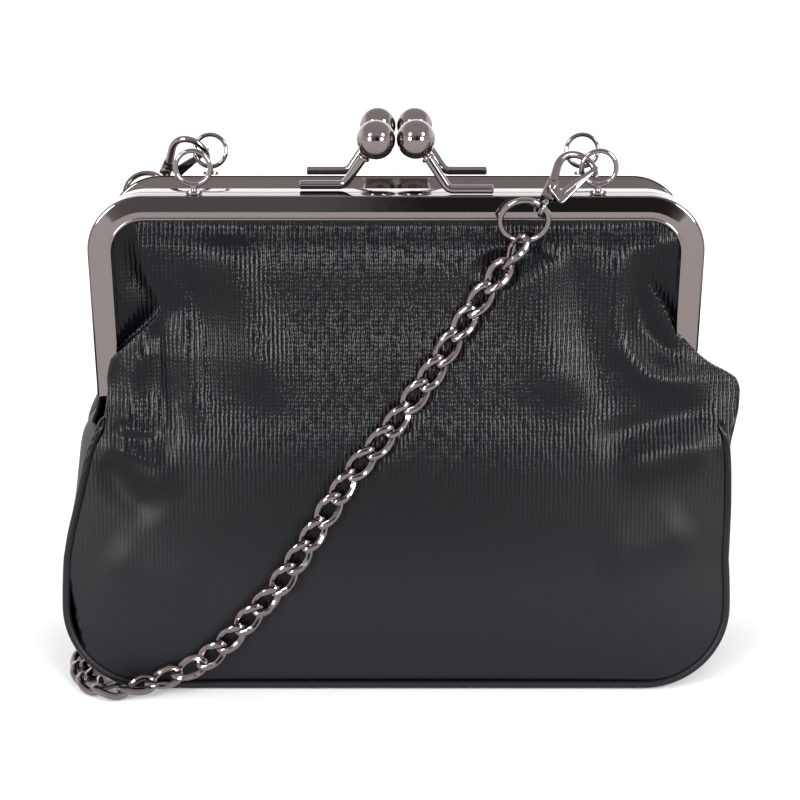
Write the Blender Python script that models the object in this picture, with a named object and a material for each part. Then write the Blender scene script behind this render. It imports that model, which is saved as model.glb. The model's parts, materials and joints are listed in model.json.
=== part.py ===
"""A small black leather handbag with two kiss-lock frames side by side and a detachable curb chain.

Each frame has two half frames that turn on a rivet at the foot of each leg, and two lock arms whose balls
snap past each other. A trigger snap at each end of the chain hooks a loop on the outer half of a frame.
World axes: X to the bag's left-right, -Y to its front, +Z up, the origin on the floor under its middle.
"""

import math

import bmesh
import bpy
from mathutils import Matrix, Vector

# Clearances
SEAT_GAP = 0.0003
CUT_OVERRUN = 0.002
WELD_DEPTH = 0.0004

# Frame halves, in the frame's own axes: origin on the hinge axis, z up the legs, y = 0 the split plane
FRAME_WIDTH = 0.216
FRAME_HEIGHT = 0.0735
FRAME_CORNER_RADIUS = 0.0205
HALF_DEPTH = 0.0063
SPLIT_GAP = 0.0006
PLATE_WIDTH = 0.0084
SHEET_THICKNESS = 0.0010
BACK_LIP_WIDTH = 0.0042
FRONT_EDGE_CHAMFER = 0.0008
BEAD_WIDTH = 0.0009
BEAD_HEIGHT = 0.00025
CORNER_STEPS = 7

# Hinges
HINGE_HEIGHT = 0.1085
HINGE_SPREAD = 0.028
FRONT_FRAME_LEAN = math.radians(4)
BACK_FRAME_LEAN = math.radians(8)
EAR_RADIUS = 0.0038
EAR_INSET = 0.0001
EAR_NECK_HEIGHT = 0.0088
EAR_NECK_FAR = 0.0040
EAR_NECK_LIMIT_SHARES = (0.90, 0.95)
RIVET_RADIUS = 0.0013
RIVET_HEAD_RADIUS = 0.0026
RIVET_HEAD_THICKNESS = 0.0008

# Kiss lock
BALL_DIAMETER = 0.0135
BALL_HEIGHT = 0.0166
BALL_CROSSING = 0.0010
ROD_DIAMETER = 0.0031
ROD_OUTER_REACH = 0.0338
ROD_BEND_REACH = 0.0182
ROD_BEND_RADIUS = 0.0035
COLLAR_DIAMETER = 0.0047
COLLAR_LENGTH = 0.0013

# Chain loops on the frames
LOOP_REACH = 0.0700
LOOP_DIAMETER = 0.0136
LOOP_WIRE = 0.0017
LOOP_NECK_HEIGHT = 0.0022
LOOP_FOOT_LENGTH = 0.0058
LOOP_FOOT_DEPTH = 0.0034
LOOP_FOOT_HEIGHT = 0.0012
LOOP_NECK_DIAMETER = 0.0022

# Pouch
POUCH_WIDTH = 0.2450
POUCH_SHOULDER_WIDTH = 0.2260
POUCH_CORNER_RADIUS = 0.0310
POUCH_BOTTOM_DEPTH = 0.0700
POUCH_SHOULDER_DEPTH = 0.0530
POUCH_BULGE = 0.0085
SHOULDER_BULGE = 0.0026
SWELL_RUN_SHARE = 1.05
SWELL_POWER = 0.8
PANEL_EDGE_POWER = 2.4
PANEL_ROW_POWER = 1.4
LEATHER = 0.0018
LINING = 0.0008
PIPING_DIAMETER = 0.0028
GUSSET_TOP_DROP = 0.0110
GUSSET_PEAK_HALF_DEPTH = 0.0180
GUSSET_NOTCH_RUN = 0.0030
LINING_TOP_DROP = 0.0150
DIVIDER_HEM_GAP = 0.0012
DIVIDER_SPREAD_AT_BOTTOM = 0.0050

# Leather inside the frame windows
TUCK = 0.0030
WINDOW_GAP = 0.0008
SHOULDER_OVERHANG = 0.0060
SHOULDER_STAND = 0.0008
WINDOW_BULGE = 0.0060
WINDOW_BULGE_TURN_SHARE = 0.72
WINDOW_BULGE_RISE = 5
BULGE_RUN = 0.0400
BULGE_RUN_POWER = 0.8
FOLD_DROP = 0.0090
FOLD_RISE = 0.0125
FOLD_GAP = 0.0004

# Trigger snap, in its own axes: origin on the gate's rivet, a across, b up, c towards the viewer
HOOK_LENGTH = 0.0176
HOOK_WIRE = 0.0024
HOOK_TIP_WIRE = 0.0019
HOOK_LINE_SHARES = [
    (0.085, 0.147, 0.0),
    (0.17, 0.34, 0.0),
    (0.27, 0.54, 0.0),
    (0.40, 0.665, 0.0),
    (0.57, 0.71, 0.0),
    (0.76, 0.665, 0.0),
    (0.91, 0.53, 0.0),
    (0.98, 0.37, 0.0),
    (0.985, 0.22, 0.0),
]
GATE_OUTLINE_SHARES = [
    (-0.085, 0.015),
    (-0.05, 0.075),
    (0.035, 0.085),
    (0.10, 0.02),
    (0.15, -0.09),
    (0.95, 0.375),
    (1.0, 0.355),
    (0.99, 0.30),
    (0.18, -0.35),
    (0.10, -0.36),
    (0.051, -0.267),
    (-0.04, -0.09),
]
GATE_THICKNESS = 0.0019
BASE_AXIS = math.radians(60)
BASE_WIDTH = 0.0046
BASE_THICKNESS = 0.0026
BASE_BACK_REACH = 0.0038
BASE_FRONT_REACH = 0.0036
GATE_PIN_RADIUS = 0.0007
GATE_PIN_HEAD_RADIUS = 0.0016
GATE_PIN_HEAD_THICKNESS = 0.0004
GATE_PIN_HEAD_EDGE_SHARE = 0.7
SWIVEL_POST_DIAMETER = 0.0020
SWIVEL_EYE_DIAMETER = 0.0070
SWIVEL_EYE_WIRE = 0.0014
LOOP_CROSSING = (0.0128, 0.0073)
CLASP_TILT = math.radians(36)
CLASP_TURN = math.radians(14)

# Chain
RING_DIAMETER = 0.0186
RING_WIRE = 0.0021
RING_HANG = math.radians(20)
RING_EYE_ANGLE = math.radians(42)
LINK_PITCH = 0.0102
LINK_WIDTH = 0.0088
LINK_WIRE = 0.0021
LINK_NECK_WIDTH_SHARE = 0.55
LINK_MIDDLE_THICKNESS_SHARE = 0.65
LINK_STEPS = 4
CHAIN_TURN_HEIGHT = 0.0200
CHAIN_CURVE_STEPS = 8

# The chain's way in world axes: from the right ring down the front to the floor at the left corner
CHAIN_FRONT_ROUTE = [
    (0.0410, -0.0310, 0.1630),
    (0.0363, -0.0305, 0.1563),
    (0.0287, -0.0308, 0.1455),
    (0.0208, -0.0322, 0.1337),
    (0.0127, -0.0345, 0.1208),
    (0.0032, -0.0357, 0.1076),
    (-0.0057, -0.0380, 0.0963),
    (-0.0157, -0.0404, 0.0850),
    (-0.0242, -0.0424, 0.0719),
    (-0.0326, -0.0437, 0.0587),
    (-0.0418, -0.0440, 0.0445),
    (-0.0511, -0.0437, 0.0337),
    (-0.0577, -0.0430, 0.0257),
    (-0.0643, -0.0423, 0.0190),
    (-0.0712, -0.0418, 0.0130),
    (-0.0800, -0.0418, 0.0088),
    (-0.0885, -0.0424, 0.0058),
    (-0.0958, -0.0432, 0.0040),
    (-0.1018, -0.0438, 0.0031),
    (-0.1075, -0.0424, 0.0028),
    (-0.1130, -0.0378, 0.0028),
    (-0.1172, -0.0302, 0.0028),
    (-0.1195, -0.0215, 0.0028),
]
# From there round the left side and in a bight behind the bag
CHAIN_FLOOR_ROUTE = [
    (-0.1195, -0.0215, 0.0028),
    (-0.1198, -0.0080, 0.0028),
    (-0.1190, 0.0100, 0.0028),
    (-0.1170, 0.0300, 0.0028),
    (-0.1120, 0.0480, 0.0028),
    (-0.1025, 0.0640, 0.0028),
    (-0.0870, 0.0760, 0.0028),
    (-0.0690, 0.0820, 0.0028),
    (-0.0510, 0.0800, 0.0028),
    (-0.0385, 0.0705, 0.0028),
    (-0.0390, 0.0580, 0.0028),
    (-0.0500, 0.0510, 0.0028),
]
# From the floor behind the bag up to the left ring
CHAIN_BACK_ROUTE = [
    (-0.0500, 0.0510, 0.0028),
    (-0.0610, 0.0500, 0.0034),
    (-0.0710, 0.0490, 0.0075),
    (-0.0790, 0.0470, 0.0165),
    (-0.0845, 0.0452, 0.0320),
    (-0.0870, 0.0436, 0.0530),
    (-0.0885, 0.0420, 0.0750),
    (-0.0895, 0.0398, 0.0960),
    (-0.0905, 0.0378, 0.1160),
    (-0.0920, 0.0360, 0.1360),
    (-0.0945, 0.0355, 0.1540),
    (-0.0960, 0.0350, 0.1620),
]

FRONT, BACK = -1, 1


def material(name, colour, roughness, metallic):
    found = bpy.data.materials.get(name)
    if found:
        return found
    made = bpy.data.materials.new(name)
    made.use_nodes = True
    made.diffuse_color = (*colour, 1)
    shader = made.node_tree.nodes["Principled BSDF"]
    shader.inputs["Base Color"].default_value = (*colour, 1)
    shader.inputs["Roughness"].default_value = roughness
    shader.inputs["Metallic"].default_value = metallic
    return made


def metal():
    return material("gunmetal", (0.16, 0.145, 0.145), 0.12, 1.0)


def leather():
    return material("leather", (0.012, 0.012, 0.014), 0.45, 0.0)


def lining_cloth():
    return material("lining", (0.03, 0.03, 0.032), 0.85, 0.0)


def place(obj, finish, parent=None):
    obj.data.materials.append(finish)
    if parent is not None:
        obj.parent = parent
    return obj


def from_bmesh(name, bm, finish, parent=None):
    bmesh.ops.remove_doubles(bm, verts=bm.verts, dist=SEAT_GAP / 100)
    bmesh.ops.recalc_face_normals(bm, faces=bm.faces)
    mesh = bpy.data.meshes.new(name)
    bm.to_mesh(mesh)
    bm.free()
    mesh.shade_smooth()
    mesh.set_sharp_from_angle(angle=math.radians(35))
    obj = bpy.data.objects.new(name, mesh)
    bpy.context.scene.collection.objects.link(obj)
    return place(obj, finish, parent)


def loft(bm, rings, capped=True, looped=False):
    """Quads between neighbouring rings of equally many points, each ring closed on itself."""
    rows = [[bm.verts.new(p) for p in ring] for ring in rings]
    pairs = list(zip(rows, rows[1:])) + ([(rows[-1], rows[0])] if looped else [])
    for a, b in pairs:
        for i in range(len(a)):
            j = (i + 1) % len(a)
            bm.faces.new((a[i], a[j], b[j], b[i]))
    if capped and not looped:
        bm.faces.new(rows[0])
        bm.faces.new(rows[-1])


def sheet_solid(bm, outer, inner):
    """A closed sheet between two grids of points that match row by row."""
    rings = [list(a) + list(reversed(b)) for a, b in zip(outer, inner)]
    loft(bm, rings)


def circle(centre, across, up, radius, sides, start=0.0):
    turn = 2 * math.pi / sides
    return [
        centre
        + radius * (math.cos(start + turn * i) * across + math.sin(start + turn * i) * up)
        for i in range(sides)
    ]


def tube(bm, points, radii, sides, hint, looped=False):
    """A round tube along points; hint is a direction that the tube never runs along."""
    rings = []
    count = len(points)
    for i, point in enumerate(points):
        before = points[i - 1] if (looped or i) else points[i]
        after = points[(i + 1) % count] if (looped or i < count - 1) else points[i]
        along = (after - before).normalized()
        across = along.cross(hint).normalized()
        radius = radii[i] if isinstance(radii, list) else radii
        rings.append(circle(point, across, along.cross(across), radius, sides))
    loft(bm, rings, looped=looped)


def smooth_line(points, steps):
    """Catmull-Rom points through the given ones."""
    ends = [2 * points[0] - points[1]] + list(points) + [2 * points[-1] - points[-2]]
    found = []
    for a, b, c, d in zip(ends, ends[1:], ends[2:], ends[3:]):
        for k in range(steps):
            t = k / steps
            found.append(
                0.5 * (2 * b + (c - a) * t + (2 * a - 5 * b + 4 * c - d) * t * t
                       + (3 * b - a - 3 * c + d) * t**3)
            )
    return found + [points[-1].copy()]


def cutter(name, bm):
    helper = from_bmesh(name, bm, metal())
    helper.hide_render = True
    helper.display_type = "WIRE"
    return helper


def combine(obj, other, operation):
    if obj.parent is not None:
        other.parent = obj.parent
    modifier = obj.modifiers.new(other.name, "BOOLEAN")
    modifier.operation = operation
    modifier.object = other
    modifier.solver = "EXACT"


def box(bm, low, high):
    made = bmesh.ops.create_cube(bm, size=1.0)["verts"]
    for v in made:
        v.co = Vector([low[k] + (v.co[k] + 0.5) * (high[k] - low[k]) for k in range(3)])


def rod_between(bm, start, end, radius, sides):
    along = (end - start).normalized()
    hint = Vector((0, 0, 1)) if abs(along.z) < 0.9 else Vector((1, 0, 0))
    across = along.cross(hint).normalized()
    up = along.cross(across)
    loft(bm, [circle(start, across, up, radius, sides), circle(end, across, up, radius, sides)])


# Frame halves


def frame_empty(name, side, lean):
    """The parent of a frame: its x axis is the hinge axis, and it leans outward."""
    empty = bpy.data.objects.new(name, None)
    empty.location = (0, side * HINGE_SPREAD / 2, HINGE_HEIGHT)
    empty.rotation_euler = (-side * lean, 0, 0)
    bpy.context.scene.collection.objects.link(empty)
    return empty


def frame_half_width(z, inset):
    """Half the width of the frame's outline, drawn in by inset, at height z."""
    middle = FRAME_HEIGHT - FRAME_CORNER_RADIUS
    if z <= middle:
        return FRAME_WIDTH / 2 - inset
    radius = FRAME_CORNER_RADIUS - inset
    rise = min(z - middle, radius)
    return FRAME_WIDTH / 2 - FRAME_CORNER_RADIUS + math.sqrt(radius**2 - rise**2)


def frame_stations():
    """Points on the outline from one leg's foot to the other's, each with its inward normal."""
    half, corner = FRAME_WIDTH / 2, FRAME_CORNER_RADIUS
    stations = [(Vector((half, 0, 0)), Vector((-1, 0, 0)))]
    for end in (1, -1):
        centre = Vector((end * (half - corner), 0, FRAME_HEIGHT - corner))
        angles = [math.pi / 2 * k / CORNER_STEPS for k in range(CORNER_STEPS + 1)]
        for angle in angles if end == 1 else reversed(angles):
            out = Vector((end * math.cos(angle), 0, math.sin(angle)))
            stations.append((centre + corner * out, -out))
    stations.append((Vector((-half, 0, 0)), Vector((1, 0, 0))))
    return stations


def half_profile(side):
    """The channel's section as (inward, depth) points: face plate with its bead, web and inner lip."""
    split, face = SPLIT_GAP / 2, SPLIT_GAP / 2 + HALF_DEPTH
    section = [
        (0, split),
        (0, face - FRONT_EDGE_CHAMFER),
        (FRONT_EDGE_CHAMFER / 3, face - FRONT_EDGE_CHAMFER / 3),
        (FRONT_EDGE_CHAMFER, face),
        (PLATE_WIDTH - BEAD_WIDTH, face),
        (PLATE_WIDTH - 2 * BEAD_WIDTH / 3, face + BEAD_HEIGHT),
        (PLATE_WIDTH - BEAD_WIDTH / 3, face + BEAD_HEIGHT),
        (PLATE_WIDTH, face),
        (PLATE_WIDTH, face - SHEET_THICKNESS),
        (SHEET_THICKNESS, face - SHEET_THICKNESS),
        (SHEET_THICKNESS, split + SHEET_THICKNESS),
        (BACK_LIP_WIDTH, split + SHEET_THICKNESS),
        (BACK_LIP_WIDTH, split),
    ]
    return [(inward, side * depth) for inward, depth in section]


def ear_span(outer):
    """The x span, counted inward from the frame's side, of the outer or the inner half's hinge ear."""
    if outer:
        return EAR_INSET, SHEET_THICKNESS - EAR_INSET
    return SHEET_THICKNESS + SEAT_GAP, 2 * SHEET_THICKNESS + SEAT_GAP


def ear(name, end, span, side):
    """A round ear on the hinge axis with a neck that runs up into its own half."""
    low, high = SPLIT_GAP / 2 + EAR_INSET, EAR_NECK_FAR
    low_share, high_share = EAR_NECK_LIMIT_SHARES
    low, high = min(low, EAR_RADIUS * low_share), min(high, EAR_RADIUS * high_share)
    first, last = math.acos(low / EAR_RADIUS), 2 * math.pi + math.acos(high / EAR_RADIUS)
    count = 14
    arc = [first + (last - first) * k / count for k in range(count + 1)]
    outline = [(EAR_RADIUS * math.cos(t), EAR_RADIUS * math.sin(t)) for t in arc]
    outline += [(high, EAR_NECK_HEIGHT), (low, EAR_NECK_HEIGHT)]
    bm = bmesh.new()
    rings = [[Vector((end * (FRAME_WIDTH / 2 - s), side * y, z)) for y, z in outline] for s in span]
    loft(bm, rings)
    return cutter(name, bm)


def bored(half, name, end, start, stop, radius):
    """Cuts a round hole on the hinge axis from start to stop, counted inward from the frame's side."""
    bm = bmesh.new()
    ends = [Vector((end * (FRAME_WIDTH / 2 - s), 0, 0)) for s in (start, stop)]
    rod_between(bm, ends[0], ends[1], radius, 18)
    combine(half, cutter(name, bm), "DIFFERENCE")


def frame_half(name, parent, side, outer):
    """One half frame; side is -1 for the half in front of the split plane, 1 for the one behind it.
    outer says whether its ears lie outside the other half's ears."""
    bm = bmesh.new()
    profile = half_profile(side)
    rings = [
        [at + inward * normal + Vector((0, depth, 0)) for inward, depth in profile]
        for at, normal in frame_stations()
    ]
    loft(bm, rings)
    half = from_bmesh(name, bm, metal(), parent)
    clear = EAR_RADIUS + SEAT_GAP
    beyond = BACK_LIP_WIDTH + CUT_OVERRUN
    for end, word in ((-1, "left"), (1, "right")):
        mark = f"{name}_{word}"
        if outer:
            bored(half, mark + "_ear_room", end, SHEET_THICKNESS - EAR_INSET, beyond, clear)
        else:
            bored(half, mark + "_ear_room", end, -CUT_OVERRUN, SHEET_THICKNESS + SEAT_GAP / 2, clear)
            head = RIVET_HEAD_RADIUS + SEAT_GAP
            bored(half, mark + "_head_room", end, 2 * SHEET_THICKNESS + SEAT_GAP / 2, beyond, head)
        combine(half, ear(mark + "_ear", end, ear_span(outer), side), "UNION")
        bored(half, mark + "_bore", end, -CUT_OVERRUN, 2 * CUT_OVERRUN, RIVET_RADIUS + SEAT_GAP)
    return half


def hinge_rivet(name, parent, end):
    """A rivet through both ears, with a domed head on each end."""
    outer_face = FRAME_WIDTH / 2 + SEAT_GAP
    inner_face = FRAME_WIDTH / 2 - 2 * SHEET_THICKNESS - 2 * SEAT_GAP
    head = RIVET_HEAD_THICKNESS
    outline = [
        (inner_face - head, RIVET_HEAD_RADIUS / 2),
        (inner_face - head / 3, RIVET_HEAD_RADIUS),
        (inner_face, RIVET_HEAD_RADIUS),
        (inner_face, RIVET_RADIUS),
        (outer_face, RIVET_RADIUS),
        (outer_face, RIVET_HEAD_RADIUS),
        (outer_face + head / 3, RIVET_HEAD_RADIUS),
        (outer_face + head, RIVET_HEAD_RADIUS / 2),
    ]
    bm = bmesh.new()
    across, up = Vector((0, 1, 0)), Vector((0, 0, 1))
    loft(bm, [circle(Vector((end * x, 0, 0)), across, up, radius, 12) for x, radius in outline])
    return from_bmesh(name, bm, metal(), parent)


# Kiss lock


def lock_places(side):
    """The lock arm's points: side -1 is the left arm on the back half, 1 the right arm on the front half."""
    seat = FRAME_HEIGHT + SEAT_GAP + ROD_DIAMETER / 2
    depth = -side * (SPLIT_GAP / 2 + HALF_DEPTH / 2)
    ball = Vector((side * (BALL_DIAMETER + SEAT_GAP) / 2, side * BALL_CROSSING / 2, seat + BALL_HEIGHT))
    outer = Vector((side * ROD_OUTER_REACH, depth, seat))
    bend = Vector((side * ROD_BEND_REACH, depth, seat))
    return outer, bend, ball


def rounded_bend(before, corner, after, radius, steps):
    """Points of an arc of about this radius that rounds the corner of two straight runs."""
    a, b = (before - corner).normalized(), (after - corner).normalized()
    reach = radius / math.tan(a.angle(b) / 2)
    start, end = corner + reach * a, corner + reach * b
    found = []
    for k in range(steps + 1):
        t = k / steps
        found.append((1 - t) ** 2 * start + 2 * t * (1 - t) * corner + t * t * end)
    return found


def lock_arm(name, parent, side):
    outer, bend, ball = lock_places(side)
    aim = (bend - ball).normalized()
    tip = ball + aim * BALL_DIAMETER / 4
    points = [outer] + rounded_bend(outer, bend, tip, ROD_BEND_RADIUS, 5) + [tip]
    bm = bmesh.new()
    tube(bm, points, ROD_DIAMETER / 2, 10, Vector((0, 1, 0)))
    return from_bmesh(f"lock_rod_{name}", bm, metal(), parent)


def lock_collar(name, parent, side):
    """The ring pressed on the rod just under the ball."""
    _, bend, ball = lock_places(side)
    aim = (bend - ball).normalized()
    across = aim.cross(Vector((0, 1, 0))).normalized()
    up = aim.cross(across)
    far = ball + aim * (BALL_DIAMETER / 2 + COLLAR_LENGTH + SEAT_GAP)
    bore = ROD_DIAMETER / 2 + SEAT_GAP
    radius = COLLAR_DIAMETER / 2
    outline = [
        (0, bore),
        (0, (bore + radius) / 2),
        (COLLAR_LENGTH / 4, radius),
        (3 * COLLAR_LENGTH / 4, radius),
        (COLLAR_LENGTH, (bore + radius) / 2),
        (COLLAR_LENGTH, bore),
    ]
    bm = bmesh.new()
    rings = [circle(far - along * aim, across, up, r, 12) for along, r in outline]
    loft(bm, rings, looped=True)
    return from_bmesh(f"lock_collar_{name}", bm, metal(), parent)


def lock_ball(name, parent, side):
    _, bend, ball = lock_places(side)
    aim = (bend - ball).normalized()
    bm = bmesh.new()
    bmesh.ops.create_uvsphere(bm, u_segments=18, v_segments=10, radius=BALL_DIAMETER / 2)
    turn = Vector((0, 0, 1)).rotation_difference(aim).to_matrix().to_4x4()
    bmesh.ops.transform(bm, matrix=Matrix.Translation(ball) @ turn, verts=bm.verts)
    made = from_bmesh(f"lock_ball_{name}", bm, metal(), parent)
    bm = bmesh.new()
    rod_between(
        bm,
        ball + aim * (BALL_DIAMETER / 4 - SEAT_GAP),
        ball + aim * (BALL_DIAMETER / 2 + CUT_OVERRUN),
        ROD_DIAMETER / 2 + SEAT_GAP,
        12,
    )
    combine(made, cutter(f"lock_ball_{name}_socket", bm), "DIFFERENCE")
    return made


# Chain loops


def loop_centre(side, end):
    """The middle of a chain loop, in its frame's axes; side is the outer side of that frame."""
    rise = SEAT_GAP + LOOP_NECK_HEIGHT + LOOP_DIAMETER / 2
    return Vector((end * LOOP_REACH, side * (SPLIT_GAP + HALF_DEPTH) / 2, FRAME_HEIGHT + rise))


def torus(bm, centre, across, up, radius, wire, around, sides):
    points = circle(centre, across, up, radius, around)
    tube(bm, points, wire, sides, across.cross(up), looped=True)


def chain_loop(name, parent, side, end):
    centre = loop_centre(side, end)
    bm = bmesh.new()
    radius = (LOOP_DIAMETER - LOOP_WIRE) / 2
    torus(bm, centre, Vector((1, 0, 0)), Vector((0, 0, 1)), radius, LOOP_WIRE / 2, 20, 6)
    ring = from_bmesh(f"chain_loop_{name}", bm, metal(), parent)
    floor = FRAME_HEIGHT + SEAT_GAP
    foot_top = floor + LOOP_FOOT_HEIGHT
    bm = bmesh.new()
    half = Vector((LOOP_FOOT_LENGTH / 2, LOOP_FOOT_DEPTH / 2, 0))
    base = Vector((centre.x, centre.y, 0))
    box(bm, base - half + Vector((0, 0, floor)), base + half + Vector((0, 0, foot_top)))
    combine(ring, cutter(f"chain_loop_{name}_foot", bm), "UNION")
    bm = bmesh.new()
    rod_between(
        bm,
        base + Vector((0, 0, foot_top - WELD_DEPTH)),
        base + Vector((0, 0, centre.z - radius)),
        LOOP_NECK_DIAMETER / 2,
        10,
    )
    combine(ring, cutter(f"chain_loop_{name}_neck", bm), "UNION")
    return ring


# Pouch outline


def pouch_half_width(z, inset=0.0):
    """Half the pouch's outer width at height z, drawn in by inset along the outline's normal."""
    full, top = POUCH_WIDTH / 2 - inset, POUCH_SHOULDER_WIDTH / 2 - inset
    corner = POUCH_CORNER_RADIUS
    if z >= corner:
        share = (z - corner) / (HINGE_HEIGHT - corner)
        return full - (full - top) * share * math.sqrt(abs(share))
    drop = min((corner - z) / (corner - inset), 1)
    return full - (corner - inset) + (corner - inset) * math.sqrt(1 - drop * drop)


def seam_depth(z):
    share = z / HINGE_HEIGHT
    return (POUCH_BOTTOM_DEPTH + (POUCH_SHOULDER_DEPTH - POUCH_BOTTOM_DEPTH) * share) / 2


def bulge_depth(z):
    """How far the panel's middle stands out of its seam at height z."""
    share = max(0.0, min(1.0, z / HINGE_HEIGHT))
    swell = math.sin(math.pi * min(1.0, SWELL_RUN_SHARE * share)) ** SWELL_POWER
    return SHOULDER_BULGE * share + (POUCH_BULGE - SHOULDER_BULGE / 2) * swell


def panel_outer_depth(x, z, inset):
    """How far in front of the bag's middle plane the lower panel's outer face is."""
    half = pouch_half_width(z, inset)
    edge = min(1.0, abs(x) / half)
    return seam_depth(z) + SEAT_GAP + LEATHER + bulge_depth(z) * (1 - edge**PANEL_EDGE_POWER)


def panel_inset():
    return PIPING_DIAMETER + 2 * SEAT_GAP


def lower_panel(name, side):
    """The front or back panel below the hinges, from seam to seam."""
    inset = panel_inset()
    rows, columns = 9, 12
    column_shares = [math.sin(math.pi / 2 * (2 * j / columns - 1)) for j in range(columns + 1)]
    outer, inner = [], []
    for i in range(rows + 1):
        z = inset + (HINGE_HEIGHT - FOLD_DROP - inset) * (i / rows) ** PANEL_ROW_POWER
        half = pouch_half_width(z, inset)
        row = [(half * u, side * panel_outer_depth(half * u, z, inset), z) for u in column_shares]
        outer.append([Vector(p) for p in row])
        inner.append([Vector((x, y - side * LEATHER, z)) for x, y, z in row])
    bm = bmesh.new()
    sheet_solid(bm, outer, inner)
    return from_bmesh(name, bm, leather())


def gusset():
    """The band down one side, along the bottom and up the other side, between the two panels' seams."""
    corner_steps, side_steps = 6, 5
    peak = HINGE_HEIGHT
    notch = HINGE_HEIGHT - GUSSET_TOP_DROP
    run = GUSSET_PEAK_HALF_DEPTH / seam_depth(notch)
    fall = (GUSSET_PEAK_HALF_DEPTH + GUSSET_NOTCH_RUN) / seam_depth(notch)

    def column(t):
        """Outer and inner points of the band at depth share t, from the right top to the left top."""
        blend = min(1.0, max(0.0, (abs(t) - run) / (fall - run)))
        top = peak + (notch - peak) * blend
        outer, inner = [], []
        heights = [top + (POUCH_CORNER_RADIUS - top) * k / side_steps for k in range(side_steps)]
        path = [(pouch_half_width(z), z, Vector((-1, 0, 0))) for z in heights]
        for k in range(corner_steps + 1):
            angle = math.pi / 2 * k / corner_steps
            out = Vector((math.cos(angle), 0, -math.sin(angle)))
            x = POUCH_WIDTH / 2 - POUCH_CORNER_RADIUS + POUCH_CORNER_RADIUS * out.x
            path.append((x, POUCH_CORNER_RADIUS * (1 + out.z), -out))
        for x, z, normal in path:
            at = Vector((x, t * seam_depth(z), z))
            outer.append(at)
            inner.append(at + LEATHER * normal)
        mirror = [Vector((-p.x, p.y, p.z)) for p in reversed(outer)]
        mirror_inner = [Vector((-p.x, p.y, p.z)) for p in reversed(inner)]
        return outer + mirror, inner + mirror_inner

    shares = [-1, -fall, -run, -run / 2, 0, run / 2, run, fall, 1]
    grids = [column(t) for t in shares]
    bm = bmesh.new()
    sheet_solid(bm, [g[0] for g in grids], [g[1] for g in grids])
    return from_bmesh("gusset", bm, leather())


def piping(name, side):
    """The round cord in the seam between a panel and the gusset."""
    inset = PIPING_DIAMETER / 2 + SEAT_GAP / 2
    low = HINGE_HEIGHT - GUSSET_TOP_DROP
    side_steps, corner_steps = 7, 6
    right = []
    for k in range(side_steps):
        z = low + (POUCH_CORNER_RADIUS - low) * k / side_steps
        right.append((pouch_half_width(z, inset), z))
    radius = POUCH_CORNER_RADIUS - inset
    for k in range(corner_steps + 1):
        angle = math.pi / 2 * k / corner_steps
        x = POUCH_WIDTH / 2 - POUCH_CORNER_RADIUS + radius * math.cos(angle)
        right.append((x, POUCH_CORNER_RADIUS - radius * math.sin(angle)))
    path = right + [(-x, z) for x, z in reversed(right)]
    offset = SEAT_GAP + PIPING_DIAMETER / 2
    points = [Vector((x, side * (seam_depth(z) + offset), z)) for x, z in path]
    bm = bmesh.new()
    tube(bm, points, PIPING_DIAMETER / 2, 6, Vector((0, 1, 0)))
    return from_bmesh(name, bm, leather())


# Leather inside the frames

# How the window leather's edge runs from the top of the frame to its hem: height share, the edge's
# place across (0 tucked behind the plate, 1 in the window, 2 over the leg), and how far it has come forward
EDGE_SHARES = [
    (1.00, 0.0, 0.0),
    (0.90, 0.0, 0.0),
    (0.84, 0.0, 0.0),
    (0.70, 0.0, 0.0),
    (0.50, 0.0, 0.0),
    (0.30, 0.0, 0.0),
    (0.16, 0.0, 0.0),
    (0.12, 1.0, 0.0),
    (0.08, 1.0, 1.0),
    (0.05, 2.0, 1.0),
    (0.00, 2.0, 1.1),
]


def window_leather_top():
    return FRAME_HEIGHT - TUCK


def window_edge(share_row):
    """The edge's height, half width and outer depth for a row of EDGE_SHARES."""
    height_share, across, forward = share_row
    z = FOLD_RISE + (window_leather_top() - FOLD_RISE) * height_share
    tucked = frame_half_width(z, TUCK)
    window = frame_half_width(z, PLATE_WIDTH + WINDOW_GAP)
    over = FRAME_WIDTH / 2 + SHOULDER_OVERHANG
    half = tucked + (window - tucked) * across if across <= 1 else window + (over - window) * (across - 1)
    face = SPLIT_GAP / 2 + HALF_DEPTH
    inside = face - SHEET_THICKNESS - SEAT_GAP
    outside = face + BEAD_HEIGHT + SHOULDER_STAND + LEATHER
    return z, half, inside + (outside - inside) * forward


def window_bulge(z):
    """How far the leather's middle stands in front of its edge, in the frame's axes."""
    share = max(0.0, 1 - z / (FRAME_HEIGHT - PLATE_WIDTH - WINDOW_GAP))
    rise = min(1.0, WINDOW_BULGE_RISE * share)
    return WINDOW_BULGE * rise * math.sin(math.pi * WINDOW_BULGE_TURN_SHARE * share)


def window_row(share_row, columns):
    z, half, edge_depth = window_edge(share_row)
    flat = min(half, frame_half_width(z, PLATE_WIDTH + WINDOW_GAP)) if share_row[1] < 1 else half
    stops = [flat * math.sin(math.pi / 2 * k / columns) for k in range(columns + 1)]
    bulge = window_bulge(z)
    row = [(x, edge_depth + bulge * min(1.0, (flat - x) / BULGE_RUN) ** BULGE_RUN_POWER) for x in stops]
    row.append((half + (0 if share_row[1] < 1 else SEAT_GAP), edge_depth))
    return z, row


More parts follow.
